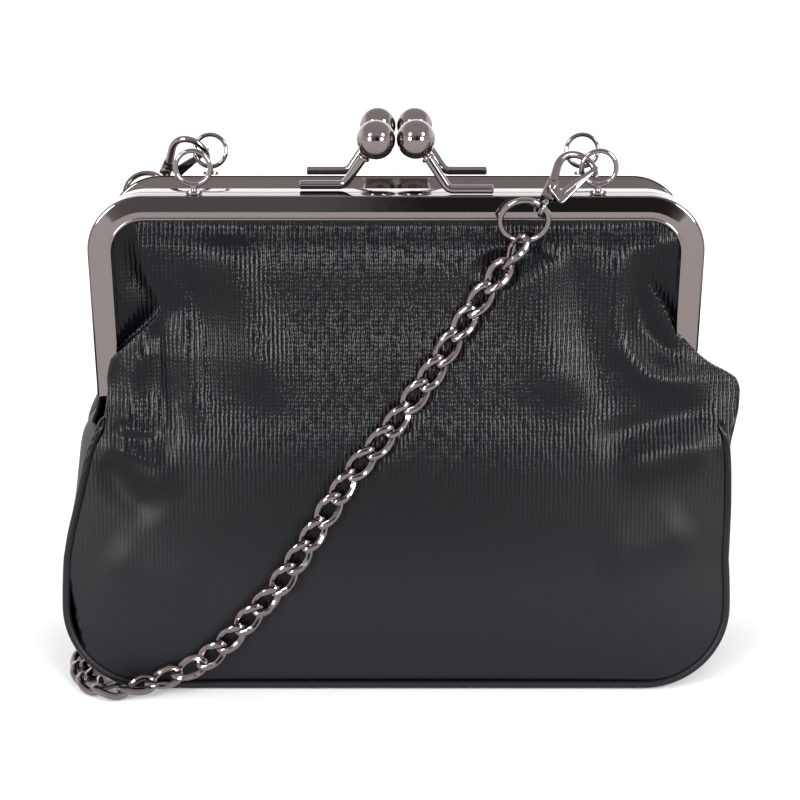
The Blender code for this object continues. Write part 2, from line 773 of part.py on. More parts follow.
def upper_panel(name, parent, side):
    """The panel's upper part, glued into the outer half frame and bulging out over the feet of its legs."""
    outer, inner = [], []
    for share_row in reversed(EDGE_SHARES):
        z, row = window_row(share_row, 6)
        full = [(-x, d) for x, d in reversed(row)] + row[1:]
        outer.append([Vector((x, side * d, z)) for x, d in full])
        inner.append([Vector((x, side * (d - LEATHER), z)) for x, d in full])
    bm = bmesh.new()
    sheet_solid(bm, outer, inner)
    return from_bmesh(name, bm, leather(), parent)


def divider_heights():
    """Heights of the rows of a divider below the hinges."""
    foot = LEATHER + DIVIDER_HEM_GAP
    return [foot + (HINGE_HEIGHT - foot) * k / 8 for k in range(7)]


def divider_reach(z):
    """How far the pouch's side of a divider is from the bag's middle plane at height z below the hinges."""
    low = DIVIDER_SPREAD_AT_BOTTOM / 2
    top = (HINGE_SPREAD - SPLIT_GAP) / 2 - HALF_DEPTH + SHEET_THICKNESS + SEAT_GAP + LEATHER
    return low + (top - low) * (z / HINGE_HEIGHT) ** 2


def divider(name, parent, side, lean):
    """The inner wall of a pouch: in the window of the inner half frame, and down to the bottom band."""
    inverse = (Matrix.Translation(parent.location) @ Matrix.Rotation(-side * lean, 4, "X")).inverted()
    depth = SPLIT_GAP / 2 + HALF_DEPTH - SHEET_THICKNESS - SEAT_GAP
    lining_inset = 2 * LEATHER + DIVIDER_HEM_GAP
    slim = frame_half_width(0, PLATE_WIDTH + WINDOW_GAP)
    rows = []
    for z in divider_heights():
        half = min(pouch_half_width(z, lining_inset), slim)
        far = side * divider_reach(z)
        near = far - side * LEATHER
        corners = ((-half, near), (half, near), (half, far), (-half, far))
        rows.append([inverse @ Vector((x, y, z)) for x, y in corners])
    for share in (0.0, 0.1, 0.3, 0.5, 0.7, 0.85, 0.95, 1.0):
        z = FOLD_RISE + (window_leather_top() - FOLD_RISE) * share
        half = frame_half_width(z, TUCK) if share else slim
        corners = ((-half, depth), (half, depth), (half, depth - LEATHER), (-half, depth - LEATHER))
        rows.append([Vector((x, -side * y, z)) for x, y in corners])
    bm = bmesh.new()
    loft(bm, rows)
    return from_bmesh(name, bm, leather(), parent)


def lining(name, side):
    """A cloth pocket inside a pouch, open at the top."""
    low, high = LEATHER + 2 * SEAT_GAP, HINGE_HEIGHT - LINING_TOP_DROP

    def ring(z, thickness):
        half = pouch_half_width(z, panel_inset() + LEATHER + thickness) - SEAT_GAP
        near = divider_reach(z) + 2 * SEAT_GAP + thickness
        far = seam_depth(z) - SEAT_GAP - thickness
        corners = ((-half, near), (half, near), (half, far), (-half, far))
        return [Vector((x, side * y, z)) for x, y in corners]

    heights = [z for z in divider_heights() if low + 2 * LINING < z < high] + [high]
    outside = [ring(low, 0)] + [ring(z, 0) for z in heights]
    inside = [ring(z, LINING) for z in reversed(heights)] + [ring(low + LINING, LINING)]
    bm = bmesh.new()
    loft(bm, outside + inside)
    return from_bmesh(name, bm, lining_cloth())


def fold(name, side, lean, parent):
    """The soft strip of panel over the feet of the legs, which creases when the half frame turns."""
    place_frame = Matrix.Translation(parent.location) @ Matrix.Rotation(-side * lean, 4, "X")
    _, hem = window_row(EDGE_SHARES[-1], 6)
    hem_x = [-x for x, _ in reversed(hem)] + [x for x, _ in hem[1:]]
    hem_depth = [d for _, d in reversed(hem)] + [d for _, d in hem[1:]]
    top = [place_frame @ Vector((x, side * d, FOLD_RISE - FOLD_GAP)) for x, d in zip(hem_x, hem_depth)]
    inset = panel_inset()
    low = HINGE_HEIGHT - FOLD_DROP + FOLD_GAP
    half = pouch_half_width(low, inset)
    widest = hem_x[-1]
    bottom = []
    for x in hem_x:
        at = x / widest * half
        bottom.append(Vector((at, side * panel_outer_depth(at, low, inset), low)))
    outer, inner = [], []
    rows = 4
    for k in range(rows + 1):
        share = k / rows
        row = [b + (t - b) * share for b, t in zip(bottom, top)]
        outer.append(row)
        inner.append([p - Vector((0, side * LEATHER, 0)) for p in row])
    bm = bmesh.new()
    sheet_solid(bm, outer, inner)
    return from_bmesh(name, bm, leather())


# Trigger snap


def clasp_axes(side, end):
    """A function from the snap's own (a, b, c) to its frame's axes. The snap of the back frame is the
    front one mirrored front to back."""
    turn = Matrix.Rotation(CLASP_TURN, 3, "Z") @ Matrix.Rotation(math.pi / 2 - CLASP_TILT, 3, "X")
    loop = loop_centre(FRONT, end)
    wire = loop - Vector(((LOOP_DIAMETER - LOOP_WIRE) / 2, 0, 0))
    rivet = wire - turn @ Vector((*LOOP_CROSSING, 0))

    def to_frame(a, b, c):
        point = rivet + turn @ Vector((a, b, c))
        return Vector((point.x, -side * point.y, point.z))

    return to_frame


def along_base(distance, across=0.0):
    ahead = (math.cos(BASE_AXIS), math.sin(BASE_AXIS))
    return distance * ahead[0] + across * ahead[1], distance * ahead[1] - across * ahead[0]


def clasp_prism(bm, to_frame, outline, low, high):
    loft(bm, [[to_frame(a, b, c) for a, b in outline] for c in (low, high)])


def eye_centre():
    return along_base(-BASE_BACK_REACH - SWIVEL_EYE_DIAMETER / 2)


def clasp_base(name, parent, side, end):
    """The snap's body: the base with its round spine and hook, and the swivel eye on its post."""
    to_frame = clasp_axes(side, end)
    half = BASE_WIDTH / 2
    trim = half / 3
    outline = [
        along_base(-BASE_BACK_REACH, -half + trim),
        along_base(-BASE_BACK_REACH, half - trim),
        along_base(trim - BASE_BACK_REACH, half),
        along_base(BASE_FRONT_REACH - trim, half),
        along_base(BASE_FRONT_REACH, half - trim),
        along_base(BASE_FRONT_REACH, -half + trim),
        along_base(BASE_FRONT_REACH - trim, -half),
        along_base(trim - BASE_BACK_REACH, -half),
    ]
    bm = bmesh.new()
    clasp_prism(bm, to_frame, outline, -BASE_THICKNESS / 2, BASE_THICKNESS / 2)
    base = from_bmesh(f"clasp_{name}", bm, metal(), parent)
    hole = circle(Vector((0, 0, 0)), Vector((1, 0, 0)), Vector((0, 1, 0)), GATE_PIN_RADIUS + SEAT_GAP, 14)
    bm = bmesh.new()
    deep = BASE_THICKNESS / 2 + CUT_OVERRUN
    clasp_prism(bm, to_frame, [(p.x, p.y) for p in hole], -deep, deep)
    combine(base, cutter(f"clasp_{name}_bore", bm), "DIFFERENCE")
    bm = bmesh.new()
    line = [to_frame(*(HOOK_LENGTH * s for s in p)) for p in HOOK_LINE_SHARES]
    line = smooth_line(line, 2)
    radii = []
    for k in range(len(line)):
        share = k / (len(line) - 1)
        radii.append((HOOK_WIRE + (HOOK_TIP_WIRE - HOOK_WIRE) * share) / 2)
    normal = to_frame(0, 0, 1) - to_frame(0, 0, 0)
    tube(bm, line, radii, 8, normal)
    combine(base, cutter(f"clasp_{name}_hook", bm), "UNION")
    post_start = along_base(-BASE_BACK_REACH + WELD_DEPTH * 2)
    post_end = along_base(-BASE_BACK_REACH - SWIVEL_EYE_WIRE / 2)
    bm = bmesh.new()
    rod_between(bm, to_frame(*post_start, 0), to_frame(*post_end, 0), SWIVEL_POST_DIAMETER / 2, 10)
    combine(base, cutter(f"clasp_{name}_post", bm), "UNION")
    bm = bmesh.new()
    eye = eye_centre()
    ahead = to_frame(*along_base(1), 0) - to_frame(0, 0, 0)
    middle = to_frame(*eye, 0)
    torus(bm, middle, ahead, normal, (SWIVEL_EYE_DIAMETER - SWIVEL_EYE_WIRE) / 2, SWIVEL_EYE_WIRE / 2, 16, 6)
    combine(base, cutter(f"clasp_{name}_eye", bm), "UNION")
    return base


def gate_span():
    """The gate's back and front, counted towards the viewer from the middle of the snap's body."""
    low = BASE_THICKNESS / 2 + SEAT_GAP
    return low, low + GATE_THICKNESS


def clasp_gate(name, parent, side, end):
    """The spring gate; its origin is on its rivet."""
    to_frame = clasp_axes(side, end)
    bm = bmesh.new()
    outline = [(HOOK_LENGTH * a, HOOK_LENGTH * b) for a, b in GATE_OUTLINE_SHARES]
    low, high = gate_span()
    clasp_prism(bm, to_frame, outline, low, high)
    rivet = to_frame(0, 0, 0)
    bmesh.ops.translate(bm, vec=-rivet, verts=bm.verts)
    gate = from_bmesh(f"clasp_gate_{name}", bm, metal(), parent)
    gate.location = rivet
    bm = bmesh.new()
    hole = circle(Vector((0, 0, 0)), Vector((1, 0, 0)), Vector((0, 1, 0)), GATE_PIN_RADIUS + SEAT_GAP, 14)
    clasp_prism(bm, to_frame, [(p.x, p.y) for p in hole], low - CUT_OVERRUN, high + CUT_OVERRUN)
    bmesh.ops.translate(bm, vec=-rivet, verts=bm.verts)
    bore = cutter(f"clasp_gate_{name}_bore", bm)
    combine(gate, bore, "DIFFERENCE")
    bore.location = rivet
    return gate


def clasp_rivet(name, parent, side, end):
    to_frame = clasp_axes(side, end)
    back = -BASE_THICKNESS / 2 - SEAT_GAP
    face = gate_span()[1] + SEAT_GAP
    head = GATE_PIN_HEAD_THICKNESS
    outline = [
        (back - head, GATE_PIN_HEAD_RADIUS * GATE_PIN_HEAD_EDGE_SHARE),
        (back - head / 2, GATE_PIN_HEAD_RADIUS),
        (back, GATE_PIN_HEAD_RADIUS),
        (back, GATE_PIN_RADIUS),
        (face, GATE_PIN_RADIUS),
        (face, GATE_PIN_HEAD_RADIUS),
        (face + head / 2, GATE_PIN_HEAD_RADIUS),
        (face + head, GATE_PIN_HEAD_RADIUS * GATE_PIN_HEAD_EDGE_SHARE),
    ]
    rings = []
    for c, radius in outline:
        flat = circle(Vector((0, 0, 0)), Vector((1, 0, 0)), Vector((0, 1, 0)), radius, 14)
        rings.append([to_frame(p.x, p.y, c) for p in flat])
    bm = bmesh.new()
    loft(bm, rings)
    return from_bmesh(f"clasp_rivet_{name}", bm, metal(), parent)


def ring_axes():
    return Vector((1, 0, 0)), Vector((0, -math.sin(RING_HANG), math.cos(RING_HANG)))


def ring_centre(side, end):
    """The middle of the ring that hangs in the swivel eye, in the frame's axes as on the front frame."""
    across, up = ring_axes()
    reach = (RING_DIAMETER - RING_WIRE) / 2
    eye = clasp_axes(FRONT, end)(*eye_centre(), 0)
    return eye - reach * (math.cos(RING_EYE_ANGLE) * across + math.sin(RING_EYE_ANGLE) * up)


def chain_ring(name, parent, side, end):
    across, up = ring_axes()
    bm = bmesh.new()
    reach = (RING_DIAMETER - RING_WIRE) / 2
    torus(bm, ring_centre(side, end), across, up, reach, RING_WIRE / 2, 24, 6)
    for v in bm.verts:
        v.co.y *= -side
    return from_bmesh(f"chain_ring_{name}", bm, metal(), parent)


# Chain


def chain_line():
    """The smooth line of the whole chain and where on it the floor run and the back run start."""
    route = CHAIN_FRONT_ROUTE + CHAIN_FLOOR_ROUTE[1:] + CHAIN_BACK_ROUTE[1:]
    first = len(CHAIN_FRONT_ROUTE) - 1
    second = first + len(CHAIN_FLOOR_ROUTE) - 1
    steps = CHAIN_CURVE_STEPS
    return smooth_line([Vector(p) for p in route], steps), first * steps, second * steps


def evenly(line, start, stop, inset, spacing):
    """Points and directions on part of a line, with inset left free at both ends, at most spacing apart."""
    slopes = [(b - a).normalized() for a, b in zip([line[0]] + line[:-1], line[1:] + [line[-1]])]
    lengths = [0.0]
    for a, b in zip(line[start:stop], line[start + 1 : stop + 1]):
        lengths.append(lengths[-1] + (b - a).length)
    run = lengths[-1] - 2 * inset
    count = math.ceil(run / spacing)
    found = []
    k = 0
    for i in range(count + 1):
        at = inset + run * i / count
        while lengths[k + 1] < at:
            k += 1
        share = (at - lengths[k]) / (lengths[k + 1] - lengths[k])
        here = line[start + k].lerp(line[start + k + 1], share)
        found.append((here, slopes[start + k].lerp(slopes[start + k + 1], share).normalized()))
    return found


def chain_facing(centre, outward):
    """The way a link's flat side looks: up on the floor, away from the bag higher up."""
    height = min(1.0, centre.z / CHAIN_TURN_HEIGHT)
    return (height * Vector((0, outward, 0)) + (1 - height) * Vector((0, 0, 1))).normalized()


def chain_run(name, line, start, stop, outward):
    """A run of the chain as one closed body with a swelling for every link."""
    neck, middle = LINK_NECK_WIDTH_SHARE, LINK_MIDDLE_THICKNESS_SHARE
    rings = []
    for i, (centre, along) in enumerate(evenly(line, start, stop, SEAT_GAP / 2, LINK_PITCH / LINK_STEPS)):
        across = chain_facing(centre, outward).cross(along).normalized()
        up = along.cross(across)
        swell = math.sin(math.pi * i / LINK_STEPS) ** 2
        wide = LINK_WIDTH / 2 * (neck + (1 - neck) * swell)
        thick = LINK_WIRE * (1 - (1 - middle) * swell)
        turns = [2 * math.pi * k / 8 for k in range(8)]
        rings.append([centre + wide * math.cos(t) * across + thick * math.sin(t) * up for t in turns])
    bm = bmesh.new()
    loft(bm, rings)
    return from_bmesh(name, bm, metal())


def chain():
    line, floor_start, back_start = chain_line()
    chain_run("chain_front", line, 0, floor_start, FRONT)
    chain_run("chain_floor", line, floor_start, back_start, BACK)
    chain_run("chain_back", line, back_start, len(line) - 1, BACK)


def main():
    for obj in list(bpy.data.objects):
        bpy.data.objects.remove(obj)
    for name, side, lean in (("front", FRONT, FRONT_FRAME_LEAN), ("back", BACK, BACK_FRAME_LEAN)):
        parent = frame_empty(f"{name}_frame", side, lean)
        frame_half(f"{name}_frame_front_half", parent, FRONT, outer=side == FRONT)
        frame_half(f"{name}_frame_back_half", parent, BACK, outer=side == BACK)
        for end, word in ((-1, "left"), (1, "right")):
            hinge_rivet(f"hinge_rivet_{name}_{word}", parent, end)
            lock_arm(f"{name}_{word}", parent, end)
            lock_collar(f"{name}_{word}", parent, end)
            lock_ball(f"{name}_{word}", parent, end)
            chain_loop(f"{name}_{word}", parent, side, end)
        upper_panel(f"{name}_panel_upper", parent, side)
        fold(f"{name}_fold", side, lean, parent)
        divider(f"{name}_divider", parent, side, lean)
        lower_panel(f"{name}_panel", side)
        piping(f"{name}_piping", side)
        lining(f"{name}_lining", side)
        end, word = (1, "right") if side == FRONT else (-1, "left")
        clasp_base(word, parent, side, end)
        clasp_gate(word, parent, side, end)
        clasp_rivet(word, parent, side, end)
        chain_ring(word, parent, side, end)
    gusset()
    chain()


main()
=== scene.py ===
import json
import math

import bmesh
import bpy
import numpy as np
from mathutils import Matrix, Vector

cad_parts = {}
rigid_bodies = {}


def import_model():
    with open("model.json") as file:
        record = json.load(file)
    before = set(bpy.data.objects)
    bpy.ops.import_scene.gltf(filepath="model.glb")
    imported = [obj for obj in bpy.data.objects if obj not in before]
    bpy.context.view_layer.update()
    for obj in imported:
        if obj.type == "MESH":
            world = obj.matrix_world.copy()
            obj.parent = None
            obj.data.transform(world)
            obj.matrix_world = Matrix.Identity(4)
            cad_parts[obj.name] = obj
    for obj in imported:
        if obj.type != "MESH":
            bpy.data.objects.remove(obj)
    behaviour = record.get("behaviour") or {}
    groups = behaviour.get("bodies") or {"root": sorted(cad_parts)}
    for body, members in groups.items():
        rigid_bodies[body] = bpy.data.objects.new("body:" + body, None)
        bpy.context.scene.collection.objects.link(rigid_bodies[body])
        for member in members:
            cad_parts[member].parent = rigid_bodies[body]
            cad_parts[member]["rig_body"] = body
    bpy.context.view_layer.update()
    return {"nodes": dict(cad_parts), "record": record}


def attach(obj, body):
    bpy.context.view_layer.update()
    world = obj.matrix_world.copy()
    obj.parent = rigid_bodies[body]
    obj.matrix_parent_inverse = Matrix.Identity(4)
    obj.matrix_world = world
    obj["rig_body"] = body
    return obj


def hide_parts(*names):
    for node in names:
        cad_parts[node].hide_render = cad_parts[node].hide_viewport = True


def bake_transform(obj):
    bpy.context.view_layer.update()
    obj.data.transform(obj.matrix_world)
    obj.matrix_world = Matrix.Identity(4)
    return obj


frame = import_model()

# Camera: the photo is taken from a little above, straight from the front
CAMERA_TARGET = Vector((0.0014, -0.025, 0.108))
CAMERA_DISTANCE = 0.56
CAMERA_ELEVATION = math.radians(16.5)
CAMERA_LENS = 70.3
CAMERA_SENSOR = 36.0

# The bag's driving sizes, as in the part
HINGE_HEIGHT = 0.1085
HINGE_SPREAD = 0.028
FRONT_FRAME_LEAN = math.radians(4)
BACK_FRAME_LEAN = math.radians(8)
FRAME_HEIGHT = 0.0735
FRAME_CORNER_RADIUS = 0.0205
FRAME_WIDTH = 0.216
HALF_FACE = 0.0066
SHEET_THICKNESS = 0.001
PLATE_WIDTH = 0.0084
TUCK = 0.003
LEATHER = 0.0018
POUCH_WIDTH = 0.245
POUCH_SHOULDER_WIDTH = 0.226
POUCH_CORNER_RADIUS = 0.031
POUCH_BOTTOM_DEPTH = 0.07
POUCH_SHOULDER_DEPTH = 0.053
PIPING_DIAMETER = 0.0028

# Frames and kiss locks, as in the part
HALF_DEPTH = 0.0063
SPLIT_GAP = 0.0006
BACK_LIP_WIDTH = 0.0042
BEAD_WIDTH = 0.0009
BEAD_HEIGHT = 0.00025
FACE_FALL = 0.00102
FACE_TURN_SHARES = (0.64, 0.92)
FACE_ROLL = 0.35
FACE_BACKING = 0.0004
EDGE_ROUND = 0.0011
EAR_RADIUS = 0.0038
EAR_NECK_HEIGHT = 0.0088
EAR_NECK_PLACES = (0.0037, 0.0005)
EAR_ARC_START = math.radians(80)
EAR_ARC = math.radians(282)
LIP_START = 0.0008
LIP_STEP = 0.0002
LEG_LIP_WIDTH = 0.0011
SEAT_GAP = 0.0003
BALL_DIAMETER = 0.0135
BALL_HEIGHT = 0.0166
BALL_CROSSING = 0.001
ROD_DIAMETER = 0.0031
ROD_OUTER_REACH = 0.0338
ROD_BEND_REACH = 0.0182
ROD_BEND_RADIUS = 0.0035
COLLAR_DIAMETER = 0.0047
COLLAR_LENGTH = 0.0013
COLLAR_CLEARANCE = 0.0001
COLLAR_ROUND = [(0, 0.0004), (0.0002, 0.0001), (0.0005, 0)]
ROD_END_SHARES = [(0, 0.62), (0.00012, 0.86), (0.0004, 1.0)]

# Chain loops, snaps and rings, as in the part
LOOP_REACH = 0.07
LOOP_DIAMETER = 0.0136
LOOP_WIRE = 0.0017
LOOP_NECK_HEIGHT = 0.0022
LOOP_NECK_DIAMETER = 0.0022
LOOP_FOOT_LENGTH = 0.0058
LOOP_FOOT_DEPTH = 0.0034
LOOP_FOOT_HEIGHT = 0.0012
LOOP_FOOT_SHARES = [(0, 0.97), (0.0004, 1.0), (LOOP_FOOT_HEIGHT - 0.0003, 1.0), (LOOP_FOOT_HEIGHT, 0.88)]
LOOP_NECK_SHARES = [(0, 1.7), (0.0004, 1.25), (0.001, 1.0)]
LOOP_NECK_TOP_SHARE = 0.95
HOOK_LENGTH = 0.0176
HOOK_WIRE = 0.0032
HOOK_TIP_WIRE = 0.002
HOOK_TIP_SHARES = (0.45, 0.8, 0.97)
HOOK_LINE_SHARES = [
    (0.085, 0.147), (0.17, 0.34), (0.27, 0.54), (0.4, 0.665), (0.57, 0.71), (0.76, 0.665),
    (0.91, 0.53), (0.98, 0.37), (0.985, 0.22),
]
GATE_OUTLINE_SHARES = [
    (-0.085, 0.015), (-0.05, 0.075), (0.035, 0.085), (0.1, 0.02), (0.15, -0.09), (0.95, 0.375),
    (1.0, 0.355), (0.99, 0.3), (0.18, -0.35), (0.1, -0.36), (0.051, -0.267), (-0.04, -0.09),
]
GATE_THICKNESS = 0.0019
GATE_BEVEL = 0.00035
GATE_RIDGE_RISE = 0.0004
GATE_RIDGE_SPAN = (-0.0005, 0.0003)
GATE_RIDGE_SHARES = [(0.17, -0.215), (0.205, -0.15), (0.925, 0.335), (0.945, 0.305)]
BASE_AXIS = math.radians(60)
BASE_WIDTH = 0.0046
BASE_THICKNESS = 0.0026
BASE_BACK_REACH = 0.0038
BASE_FRONT_REACH = 0.0036
BASE_TAPER = 0.8
BASE_BEVEL = 0.0003
SWIVEL_POST_DIAMETER = 0.002
SWIVEL_EYE_DIAMETER = 0.007
SWIVEL_EYE_WIRE = 0.0014
SWIVEL_POST_SHARES = [(0, 1.0), (0.0008, 0.9), (0.0016, 1.0)]
RIVET_RADIUS = 0.0007
RIVET_HEAD = [
    (0, 0.0013), (0.0002, 0.00155), (0.0004, 0.0016), (0.0007, 0.0014), (0.0009, 0.0009), (0.00095, 0.0003),
]
LOOP_CROSSING = (0.0128, 0.0073)
CLASP_TILT = math.radians(36)
CLASP_TURN = math.radians(14)
RING_DIAMETER = 0.0186
RING_WIRE = 0.0021
RING_HANG = math.radians(20)
RING_EYE_ANGLE = math.radians(42)

# Chain: its links, then its route in millimetres
LINK_PITCH = 0.0102
LINK_WIDTH = 0.0092
LINK_WIRE = 0.0027
LINK_TWIST = math.radians(45)
LINK_FLAT = 0.0022
CHAIN_TURN_HEIGHT = 0.02
CHAIN_CURVE_STEPS = 8
CHAIN_PATH_STEPS = 60
FRONT_RING_DEGREES = -97
BACK_RING_DEGREES = -90
END_LINK_LIFT = math.radians(70)
UPPER_LINK_LIFT = math.radians(28)
UPPER_LINK_SPAN = (0.105, 0.15)
LINK_SWAY_DEGREES, LINK_SWAY_MORE = 3, 5
LINK_SWAY_HEIGHT = 0.03
LINK_SWAY_RATE = 2.4
CHAIN_FRONT_ROUTE = [
    (41, -31, 163), (36.3, -30.5, 156.3), (28.7, -30.8, 145.5), (20.8, -32.2, 133.7),
    (12.7, -34.5, 120.8), (3.2, -35.7, 107.6), (-5.7, -38, 96.3), (-15.7, -40.4, 85),
    (-24.2, -42.4, 71.9), (-32.6, -43.7, 58.7), (-41.8, -44, 44.5), (-51.1, -43.7, 33.7),
    (-57.7, -43, 25.7), (-64.3, -42.3, 19), (-71.2, -41.8, 13), (-80, -41.8, 8.8), (-88.5, -42.4, 5.8),
    (-95.8, -43.2, 4), (-101.8, -43.8, 3.1), (-107.5, -42.4, 2.8), (-113, -37.8, 2.8),
    (-117.2, -30.2, 2.8), (-119.5, -21.5, 2.8),
]
CHAIN_FLOOR_ROUTE = [
    (-119.5, -21.5, 2.8), (-119.8, -8, 2.8), (-119, 10, 2.8), (-117, 30, 2.8), (-112, 48, 2.8),
    (-102.5, 64, 2.8), (-87, 76, 2.8), (-69, 82, 2.8), (-51, 80, 2.8), (-38.5, 70.5, 2.8),
    (-39, 58, 2.8), (-50, 51, 2.8),
]
CHAIN_BACK_ROUTE = [
    (-50, 51, 2.8), (-61, 50, 3.4), (-71, 49, 7.5), (-79, 47, 16.5), (-84.5, 45.2, 32), (-87, 43.6, 53),
    (-88.5, 42, 75), (-89.5, 39.8, 96), (-90.5, 37.8, 116), (-92, 36, 136), (-94.5, 35.5, 154),
    (-96, 35, 162),
]

# Shades of the studio's walls and ceiling by height (the sine of the angle above the horizon)
BEHIND_SHADES = [(0, 1.6), (0.13, 2.1), (0.4, 2), (0.62, 0.9), (1, 0.9)]
BESIDE_SHADES = [(0, 1), (0.2, 1.3), (0.4, 0.9), (0.62, 0.9), (1, 0.9)]
AHEAD_LEFT_SHADES = [(0, 0.33), (0.4, 0.33), (0.7, 0.8), (1, 0.9)]
AHEAD_SHADES = [(0, 0.05), (0.4, 0.06), (0.7, 0.8), (1, 0.9)]
AHEAD_SPAN = (-0.06, 0.02)
BESIDE_SPAN = (-0.95, -0.78)
BEHIND_SPAN = (-0.15, 0.3)

# Lights: name, where it comes from, its breadth in degrees and its strength
LIGHTS = [
    ("key", (-0.7, -0.8, 0.7), 16, 1.2),
    ("fill", (0.85, -0.7, 0.7), 16, 1.1),
    ("left_rib_light", (-0.6, -0.79, 0.15), 18, 2.5),
    ("right_rib_light", (0.57, -0.8, 0.15), 18, 2.8),
]
FLOOR_REACH = 40
FLOOR_DROP = 0.0002
FLOOR_SHADE = (0.88, 0.88, 0.88, 1)

# Leather panels: tables by height, with lengths in millimetres, and shares and powers as they are
RIGHT_EDGE = [
    (60, 119.2), (66, 118.8), (76, 118.4), (86, 118.4), (92, 118.8), (99, 120.4), (105, 121.8),
    (110.4, 122.2), (114.9, 121), (117.8, 117.2), (120.5, 112), (124, 107.2), (128, 103), (132, 99.6),
]
LEFT_EDGE = [
    (66, 114.9), (72, 113.4), (80, 111.4), (86, 109.8), (92, 107.6), (98, 105.4), (104, 103.7),
    (110, 102.9), (116, 102.2), (121, 101), (125, 99.4),
]
BACK_EDGE = [
    (66, 118), (80, 115), (88, 112), (94, 108), (100, 103.4), (106, 101.4), (112, 100.9),
    (118, 100.4), (125, 99.4), (132, 99.4),
]
RIGHT_CREST = [
    (132, 99.4), (136, 97.6), (140, 95.4), (144, 92.8), (149, 89.6), (153.5, 87.4), (158, 87.6),
    (166, 91), (181, 97),
]
LEFT_CREST = [
    (125, 99.4), (126.8, 97.4), (130.2, 93.8), (134.6, 88.7), (138.4, 84.8), (141.9, 83), (145.6, 84),
    (151.4, 86.8), (161.2, 89.2), (169, 90.2), (181, 93),
]
RIGHT_STEP = [(132, 1), (142, 0.9), (149, 0.5), (156, 0.2), (166, 0.05), (181, 0)]
LEFT_STEP = [(125, 1), (158, 1), (168, 0.7), (174, 0.2), (181, 0)]
RIGHT_WRAP = [(66, 3), (90, 4), (98, 8), (104, 9.5), (110, 6.5), (115, 4.4), (121, 4), (181, 4)]
LEFT_WRAP = [(66, 1.4), (110, 1.4), (120, 3.9), (181, 3.9)]
MIDDLE_DEPTH = [
    (2, 35.6), (5, 37.4), (10, 39.2), (18, 40.5), (28, 41.1), (38, 41.4), (50, 41.1), (66, 40.3),
    (76, 39.1), (86, 37.6), (96, 35.7), (106, 33.9), (116, 32.6), (126, 31.2), (136, 29.6), (146, 28.5),
    (156, 27.8), (164, 26.4), (170, 24.6), (173, 23.6), (181, 23.6),
]
LEFT_DIP = [(125, 1), (132, 4), (150, 4.5), (164, 2.5), (172, 0), (181, 0)]
RIGHT_DIP = [(132, 0.5), (138, 2.4), (148, 2), (158, 0.8), (166, 0), (181, 0)]
LEFT_SWITCH, RIGHT_SWITCH = 0.125, 0.132
SWITCH_BELOW, SWITCH_ABOVE = 0.003, 0.001
SIDE_POWER = [(2, 3), (66, 2.6), (106, 3), (126, 3.4), (181, 3.4)]
LOW_HEIGHTS = (3.4, 5, 8, 12, 18, 25, 36, 50)
SIDES = {
    -1: (LEFT_STEP, LEFT_WRAP, LEFT_DIP, LEFT_SWITCH),
    1: (RIGHT_STEP, RIGHT_WRAP, RIGHT_DIP, RIGHT_SWITCH),
}

# How the panels fit the frame, the seams and the chain
PANEL_BOTTOM, PANEL_FINE_TOP, PANEL_TOP = 0.0034, 0.012, 0.1802
PANEL_SHEET = 0.0014
PANEL_COLUMNS = 190
TUCK_GAP = 0.0004
EDGE_INSET = PIPING_DIAMETER + 0.0004
OVER_GAP = 0.0007
SEAM_GAP = 0.0003
CREST_SPAN = (0.091, 0.118)
TUCK_SPAN = (0.1635, 0.1725)
FREE_BOTTOM_SPAN = (0.004, 0.02)
FREE_TOP_SPAN = (0.161, 0.1715)
FREE_SIDE_SPAN = (0.9, 1)
SIDE_STILLNESS = 0.8
SIDE_STRIPS = 14
TUCK_START_SHARE = 0.42
STEEP_FALL_SHARES = (0, 0.55)
SLOW_FALL_SHARES = (0.3, 1)
DIP_RATE = 1.25
TURN_SHARE = 0.6
TURN_RADIUS = 0.0026
TURN_REACH_SHARE = 0.6
TURN_IN = 0.0012
CHAIN_CLEARANCE = 0.0024
CHAIN_TOP_CLEARANCE = 0.0022
CHAIN_TOP_SPAN = (0.148, 0.16)
CHAIN_PRESS_REACH = 0.0048
CHAIN_PRESS_SLOPE = 0.35

# Side seams of the front, pulled off the part's even line by the filled pouch, and the side band
LEFT_SEAM = [(50, 121.35), (60, 119.3), (72, 116), (80, 114), (89, 111.6), (95, 109.2), (100, 106.6)]
RIGHT_SEAM = [(50, 121.35), (66, 121.4), (80, 121), (92, 120), (100, 118)]
GUSSET_BULGE = [(0, 0), (40, 0), (60, 1.2), (80, 3.4), (92, 4.4), (100, 2.6), (109, -1.4)]
GUSSET_CREASE = [(0, 0), (50, 0), (75, 1.6), (92, 3.4), (109, 5)]
GUSSET_PEAK_SHARES = (0.34, 0.7)
GUSSET_TOP_DROP = 0.011
GUSSET_SHEET = 0.0014
GUSSET_CREASE_SHARE = 0.22
BINDING = 0.0011
BINDING_WAVES = [(0.1, 2.1), (0.06, 4.7)]
PIPING_INSET = 0.00015
PIPING_TURNS = ((0.001, 0.0018, 0.0026), (0.0034, 0.0048, 0.0044))
FOLD_GAIN = 2
FOLD_RISE_SHARE = 0.25
FOLD_FADE_SHARE = 0.7

